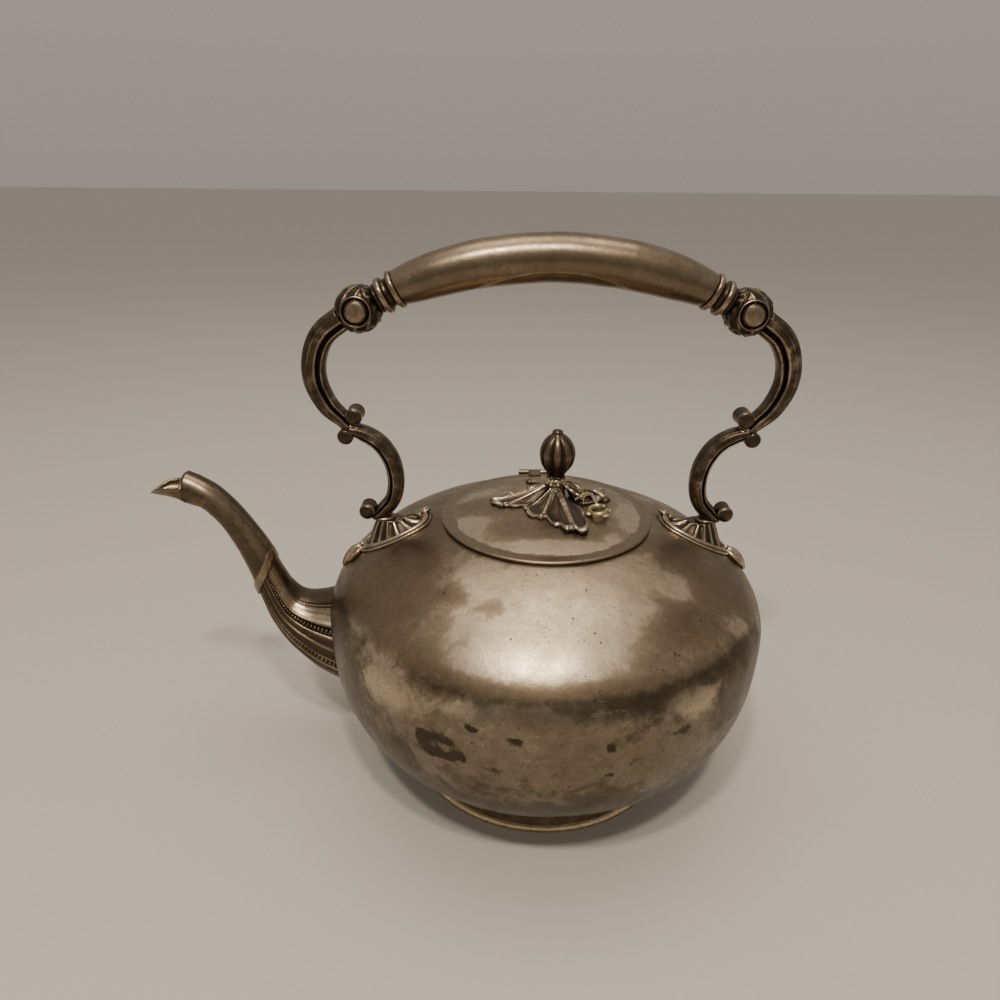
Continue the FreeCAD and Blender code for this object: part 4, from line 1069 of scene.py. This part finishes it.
def scroll_rings(line, widths, half, grooves, side):
    """Reeded bar along a line in the XZ plane. grooves are (place across, width, depth)."""
    path = resample(catmull([(p[0], p[1], w) for p, w in zip(line, widths)], 12), 110)
    way = np.gradient(path[:, :2], axis=0)
    way /= np.linalg.norm(way, axis=1)[:, None]
    across = np.column_stack([way[:, 1], -way[:, 0]])
    turn = np.linspace(0, 2 * math.pi, 160, endpoint=False)
    power = 2 / 2.5
    p = np.sign(np.cos(turn)) * np.abs(np.cos(turn)) ** power
    y = np.sign(np.sin(turn)) * np.abs(np.sin(turn)) ** power
    cut = sum(depth * bump(p, at, wide) for at, wide, depth in grooves)
    edge = sum(min(1.0, depth * 3) * (bump(p, at - 1.6 * wide, wide * 0.5) + bump(p, at + 1.6 * wide,
                                                                                  wide * 0.5))
               for at, wide, depth in grooves)
    rings = np.empty((len(path), len(turn), 3))
    offset = p[None, :] * path[:, 2:3] / 2
    rings[:, :, 0] = (path[:, 0:1] + offset * across[:, 0:1]) * side
    rings[:, :, 2] = path[:, 1:2] + offset * across[:, 1:2]
    rings[:, :, 1] = half * y * (1 - cut)
    uneven = wobble(rings.reshape(-1, 3), 0.22, 9.0, 2).reshape(rings.shape[:2])
    worn = np.where(np.abs(y) > 0.35, 0.48 + (0.60 + 0.3 * uneven) * edge - 1.8 * cut, 0.5)
    return rings, np.clip(worn + 0.15 * uneven, 0, 1).reshape(-1)


def volute(shape, centre, radius, half, side):
    """Rolled end of a scroll: a rounded barrel with a domed end on both faces."""
    outline = catmull([(0.1, -half - 0.75), (radius * 0.45, -half - 0.6), (radius * 0.85, -half - 0.05),
                       (radius, -half + 0.9), (radius * 0.93, -half + 2.0), (radius * 0.96, 0),
                       (radius * 0.93, half - 2.0), (radius, half - 0.9), (radius * 0.85, half + 0.05),
                       (radius * 0.45, half + 0.6), (0.1, half + 0.75)], 5)
    turn = np.linspace(0, 2 * math.pi, 48, endpoint=False)
    rings = np.empty((len(outline), 48, 3))
    rings[:, :, 0] = (centre[0] + outline[:, :1] * np.cos(turn)) * side
    rings[:, :, 1] = outline[:, 1:2]
    rings[:, :, 2] = centre[1] + outline[:, :1] * np.sin(turn)
    tone = 0.4 + 0.35 * bump(np.abs(outline[:, 1]), half - 0.6, 0.6)
    shape.closed_tube(rings, np.repeat(np.clip(tone, 0, 1), 48), flip=side > 0)


def make_scrolls(side, name):
    """Upper and lower C scrolls with their rolled ends and the solder where they cross."""
    start = grip_end() + (FERRULE + BLOCK - 0.8) * np.array([math.cos(DROP), 0, -math.sin(DROP)])
    upper = Shape()
    line = [(start[0], start[2]), (86.2, 188.9), (90.2, 180.3), (90.6, 171.0), (86.9, 161.8), (81.6, 156.2),
            (78.6, 153.2)]
    rings, worn = scroll_rings(line, [9.4, 9.5, 9.3, 9.0, 8.0, 6.4, 4.6], 4.6,
                               [(0.46, 0.15, 0.55), (-0.30, 0.035, 0.14), (-0.86, 0.04, 0.12)], side)
    upper.closed_tube(rings, worn, flip=side < 0)
    volute(upper, (76.4, 157.8), 3.4, 4.2, side)
    upper.object("upper_scroll_" + name, "kettle", "dark_silver", SCROLL, ("upper_scroll_" + name,))
    lower = Shape()
    line = [(79.2, 152.0), (73.4, 150.0), (67.0, 145.6), (62.8, 138.2), (61.6, 129.8), (63.2, 122.0),
            (67.6, 116.6),
            (70.6, 114.6)]
    rings, worn = scroll_rings(line, [4.2, 6.2, 6.7, 6.9, 6.8, 6.6, 6.2, 3.6], 4.2,
                               [(-0.45, 0.13, 0.45), (0.72, 0.04, 0.10)], side)
    lower.closed_tube(rings, worn, flip=side < 0)
    volute(lower, (80.3, 149.4), 3.2, 4.0, side)
    volute(lower, (73.8, 117.0), 3.3, 4.0, side)
    for x, z, size in ((78.2, 153.4, 2.9), (80.4, 153.9, 1.9), (76.0, 152.8, 2.0)):
        solder = sphere((x * side, 0, z), (size, 3.6, size * 0.55), 16, 28)
        solder += 0.22 * wobble(solder.reshape(-1, 3), 0.5, x, 2).reshape(solder.shape[:2])[:, :, None]
        lower.closed_tube(solder, 0.95)
    lower.closed_tube(sphere((67.7 * side, 0, 113.6), (5.2, 4.2, 1.4), 12, 24), 0.6)
    lower.object("lower_scroll_" + name, "kettle", "dark_silver", SCROLL, ("lower_scroll_" + name,))


# ---------------------------------------------------------------- shoulder mounts

# Where a mount's flutes meet, its outer edge on one side, and the eye of its volute: x, y.
MOUNT_CENTRE = np.array([65.5, 0.0])
MOUNT_EDGE = [(47.6, 0.0), (48.6, 5.0), (52.4, 8.9), (58.0, 11.2), (63.5, 11.7), (69.0, 10.5), (73.6, 7.9),
              (77.0, 4.6), (78.6, 0.0)]


MOUNT_VOLUTE = (51.4, 6.6)
MOUNT_TOP = 113.1
MOUNT_FLUTES = 12


def make_mount(side, name):
    """Fan-fluted mound, round border and outer fillet, on a polar grid about the scroll's foot."""
    near = catmull(MOUNT_EDGE, 16)
    edge = np.vstack([near, (near * (1, -1))[::-1][1:-1]])
    bearing = np.arctan2(edge[:, 1] - MOUNT_CENTRE[1], edge[:, 0] - MOUNT_CENTRE[0])
    reach = np.hypot(edge[:, 0] - MOUNT_CENTRE[0], edge[:, 1] - MOUNT_CENTRE[1])
    order = np.argsort(bearing)
    columns, rows = 480, 84
    turn = np.linspace(-math.pi, math.pi, columns, endpoint=False)
    limit = np.interp(turn, bearing[order], reach[order], period=2 * math.pi)
    share = np.linspace(0.0, 1.0, rows)[:, None]
    r = (0.06 + 0.94 * share) * limit
    x = MOUNT_CENTRE[0] + r * np.cos(turn)
    y = MOUNT_CENTRE[1] + r * np.sin(turn)
    base = shoulder_z(np.hypot(x, y))
    rho = r / limit
    slope = smooth_step(rho, 0.33, 0.80)
    cone = MOUNT_TOP + (base + 0.55 - MOUNT_TOP) * (0.25 * slope + 0.75 * slope ** 0.75)
    phase = (turn * MOUNT_FLUTES / (2 * math.pi)) % 1.0
    panel = np.sin(math.pi * np.clip((phase - 0.09) / 0.82, 0, 1)) ** 0.45
    # each petal is rounded at its outer end
    end = 0.70 + 0.05 * panel
    inside = smooth_step(rho, 0.34, 0.40) * smooth_step(rho, end, end - 0.03)
    dip = panel * inside
    rib = (1 - panel) * inside
    cone = cone - 0.95 * dip + 0.2 * rib
    border = 2.15 * np.sqrt(np.clip(1 - ((rho - 0.855) / 0.08) ** 2, 0, 1))
    fillet = 1.0 * np.sqrt(np.clip(1 - ((rho - 0.968) / 0.026) ** 2, 0, 1))
    step = 0.5 * smooth_step(rho, 0.75, 0.765) * smooth_step(rho, 0.79, 0.77)
    level = np.where(rho < 0.78, cone + step, base + 0.35)
    z = np.maximum(level, base + np.maximum(border, fillet))
    z = np.maximum(z, base + 0.12)
    z[-1] = base[-1] - 0.2
    worn = 0.42 - 0.42 * dip + 0.55 * rib + 0.5 * smooth_step(border, 1.1, 1.9) + 0.45 * (fillet > 0.5)
    worn = np.where((rho > 0.765) & (border < 0.6) & (fillet < 0.3), 0.0, worn)
    worn = np.where(np.abs(rho - end - 0.01) < 0.014, 0.95, worn)
    rings = np.stack([x * side, y, z], axis=2)
    under = np.stack([x * side, y, base - 0.35], axis=2)
    shape = Shape()
    loop = np.concatenate([rings, under[::-1]])
    tone = np.concatenate([np.clip(worn, 0, 1), np.zeros(worn.shape)])
    shape.closed_tube(loop, tone.reshape(-1), flip=side < 0)
    # the border curls into a volute at the lid end, on the hinge side
    eye_x, eye_y = MOUNT_VOLUTE
    spiral = []
    for t in np.linspace(0, 1, 70):
        a = math.pi * (-0.35 + 3.2 * t)
        size = 2.5 * (1 - t) ** 0.75 + 0.35
        px, py = eye_x + size * math.cos(a), eye_y + size * math.sin(a)
        spiral.append((px * side, py, float(shoulder_z(math.hypot(px, py))) + 1.5 + 0.8 * t))
    shape.closed_tube(tube_rings(spiral, np.linspace(0.95, 0.7, 70), 10, up=(0, 0, 1)),
                      np.tile(0.55 + 0.4 * np.cos(np.linspace(0, 2 * math.pi, 10, endpoint=False)), 70))
    eye = (eye_x * side, eye_y, float(shoulder_z(math.hypot(eye_x, eye_y))) + 2.3)
    shape.closed_tube(sphere(eye, (0.95, 0.95, 0.8)), 0.95)

    def seat(px, py, lift):
        return (px * side, py, float(shoulder_z(math.hypot(px, py))) + lift)

    # bud at the outer tip: a centre drop between two curled leaves
    drop = [seat(77.6, 0, 1.2), seat(79.6, 0, 2.0), seat(82.2, 0, 2.0), seat(84.6, 0, 1.3),
            seat(86.2, 0, 0.5)]
    shape.closed_tube(tube_rings(catmull(drop, 6), 1.9 * np.sin(np.linspace(0.35, 2.9, 25)) ** 0.8 + 0.1,
                                 14), 0.85)
    for hand in (1, -1):
        leaf = [seat(77.4, hand * 1.6, 1.0), seat(79.0, hand * 3.7, 1.3), seat(81.2, hand * 4.7, 1.2),
                seat(83.0, hand * 4.0, 1.2), seat(82.6, hand * 2.7, 1.5), seat(81.2, hand * 2.9, 1.8)]
        shape.closed_tube(tube_rings(resample(catmull(leaf, 6), 34), np.linspace(1.15, 0.55, 34), 10), 0.75)
    shape.object("mount_" + name, "kettle", "silver_mount", MOUNT, ("handle_mount_" + name,))


# ---------------------------------------------------------------- stage

def make_stage():
    floor = bpy.data.materials.new("pale_floor")
    n = Nodes(floor)
    shader = n.new("ShaderNodeBsdfPrincipled",
                   inputs={"Base Color": (0.50, 0.47, 0.43, 1), "Roughness": 0.85})
    n.new("ShaderNodeOutputMaterial", inputs={"Surface": shader.outputs[0]})
    mesh = bpy.data.meshes.new("floor")
    size = 20.0
    mesh.from_pydata([(-size, -size, 0), (size, -size, 0), (size, size, 0), (-size, size, 0)], [],
                     [(0, 1, 2, 3)])
    mesh.materials.append(floor)
    piece = bpy.data.objects.new("floor", mesh)
    bpy.context.scene.collection.objects.link(piece)


def make_light(name, place, target, size, power, colour=(1, 0.90, 0.76)):
    light = bpy.data.lights.new(name, "AREA")
    light.shape = "RECTANGLE"
    light.size, light.size_y = size
    light.energy = power
    light.color = colour
    lamp = bpy.data.objects.new(name, light)
    lamp.location = place
    lamp.rotation_euler = (Vector(target) - Vector(place)).to_track_quat("-Z", "Y").to_euler()
    bpy.context.scene.collection.objects.link(lamp)


def make_world():
    world = bpy.data.worlds.new("studio")
    bpy.context.scene.world = world
    world.use_nodes = True
    tree = world.node_tree
    tree.nodes.clear()
    place = tree.nodes.new("ShaderNodeTexCoord")
    split = tree.nodes.new("ShaderNodeSeparateXYZ")
    ramp = tree.nodes.new("ShaderNodeValToRGB")
    back = tree.nodes.new("ShaderNodeBackground")
    out = tree.nodes.new("ShaderNodeOutputWorld")
    tree.links.new(place.outputs["Generated"], split.inputs[0])
    tree.links.new(split.outputs["Z"], ramp.inputs[0])
    tree.links.new(ramp.outputs[0], back.inputs[0])
    tree.links.new(back.outputs[0], out.inputs[0])
    ramp.color_ramp.elements[0].position = 0.0
    ramp.color_ramp.elements[0].color = (0.52, 0.47, 0.41, 1)
    ramp.color_ramp.elements[1].position = 0.9
    ramp.color_ramp.elements[1].color = (0.87, 0.80, 0.71, 1)
    back.inputs[1].default_value = 0.62


# Camera place in metres, its tilt below the horizon and its roll in degrees.
CAMERA_PLACE = (-0.0191, -0.2724, 0.2421)
CAMERA_PITCH = 23.9
CAMERA_ROLL = 0.5


def make_camera():
    camera = bpy.data.cameras.new("camera")
    camera.sensor_width = 36.0
    camera.lens = 25.92
    camera.clip_start = 0.01
    view = bpy.data.objects.new("camera", camera)
    pitch = Matrix.Rotation(math.radians(90 - CAMERA_PITCH), 4, "X")
    roll = Matrix.Rotation(math.radians(CAMERA_ROLL), 4, "Z")
    view.matrix_world = Matrix.Translation(CAMERA_PLACE) @ pitch @ roll
    bpy.context.scene.collection.objects.link(view)
    bpy.context.scene.camera = view


make_camera()
make_stage()
make_world()
make_light("top_soft", (0.0, 0.10, 1.25), (0, 0, 0.1), (0.8, 0.5), 4.5)
make_light("front_left", (-0.20, -0.56, 1.07), (0, 0, 0.1), (0.08, 0.07), 5)
make_light("front_right", (0.05, -0.58, 1.07), (0, 0, 0.1), (0.08, 0.07), 5)

make_body()
make_foot()
make_collar()
make_lid()
make_bud()
make_leaf()
make_flower()
make_spout_base()
make_spout_strap()
make_spout_neck()
make_grip()
for hand, label in ((-1, "left"), (1, "right")):
    make_ferrule(hand, label)
    make_block(hand, label)
    make_scrolls(hand, label)
    make_mount(hand, label)

for node in ("hinge_body_leaf", "hinge_lid_leaf"):
    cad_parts[node].data.materials.clear()
    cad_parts[node].data.materials.append(HINGE)
for node in ("hinge_pin", "finial_stud", "finial_washer", "finial_nut"):
    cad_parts[node].data.materials.clear()
    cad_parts[node].data.materials.append(INNER)
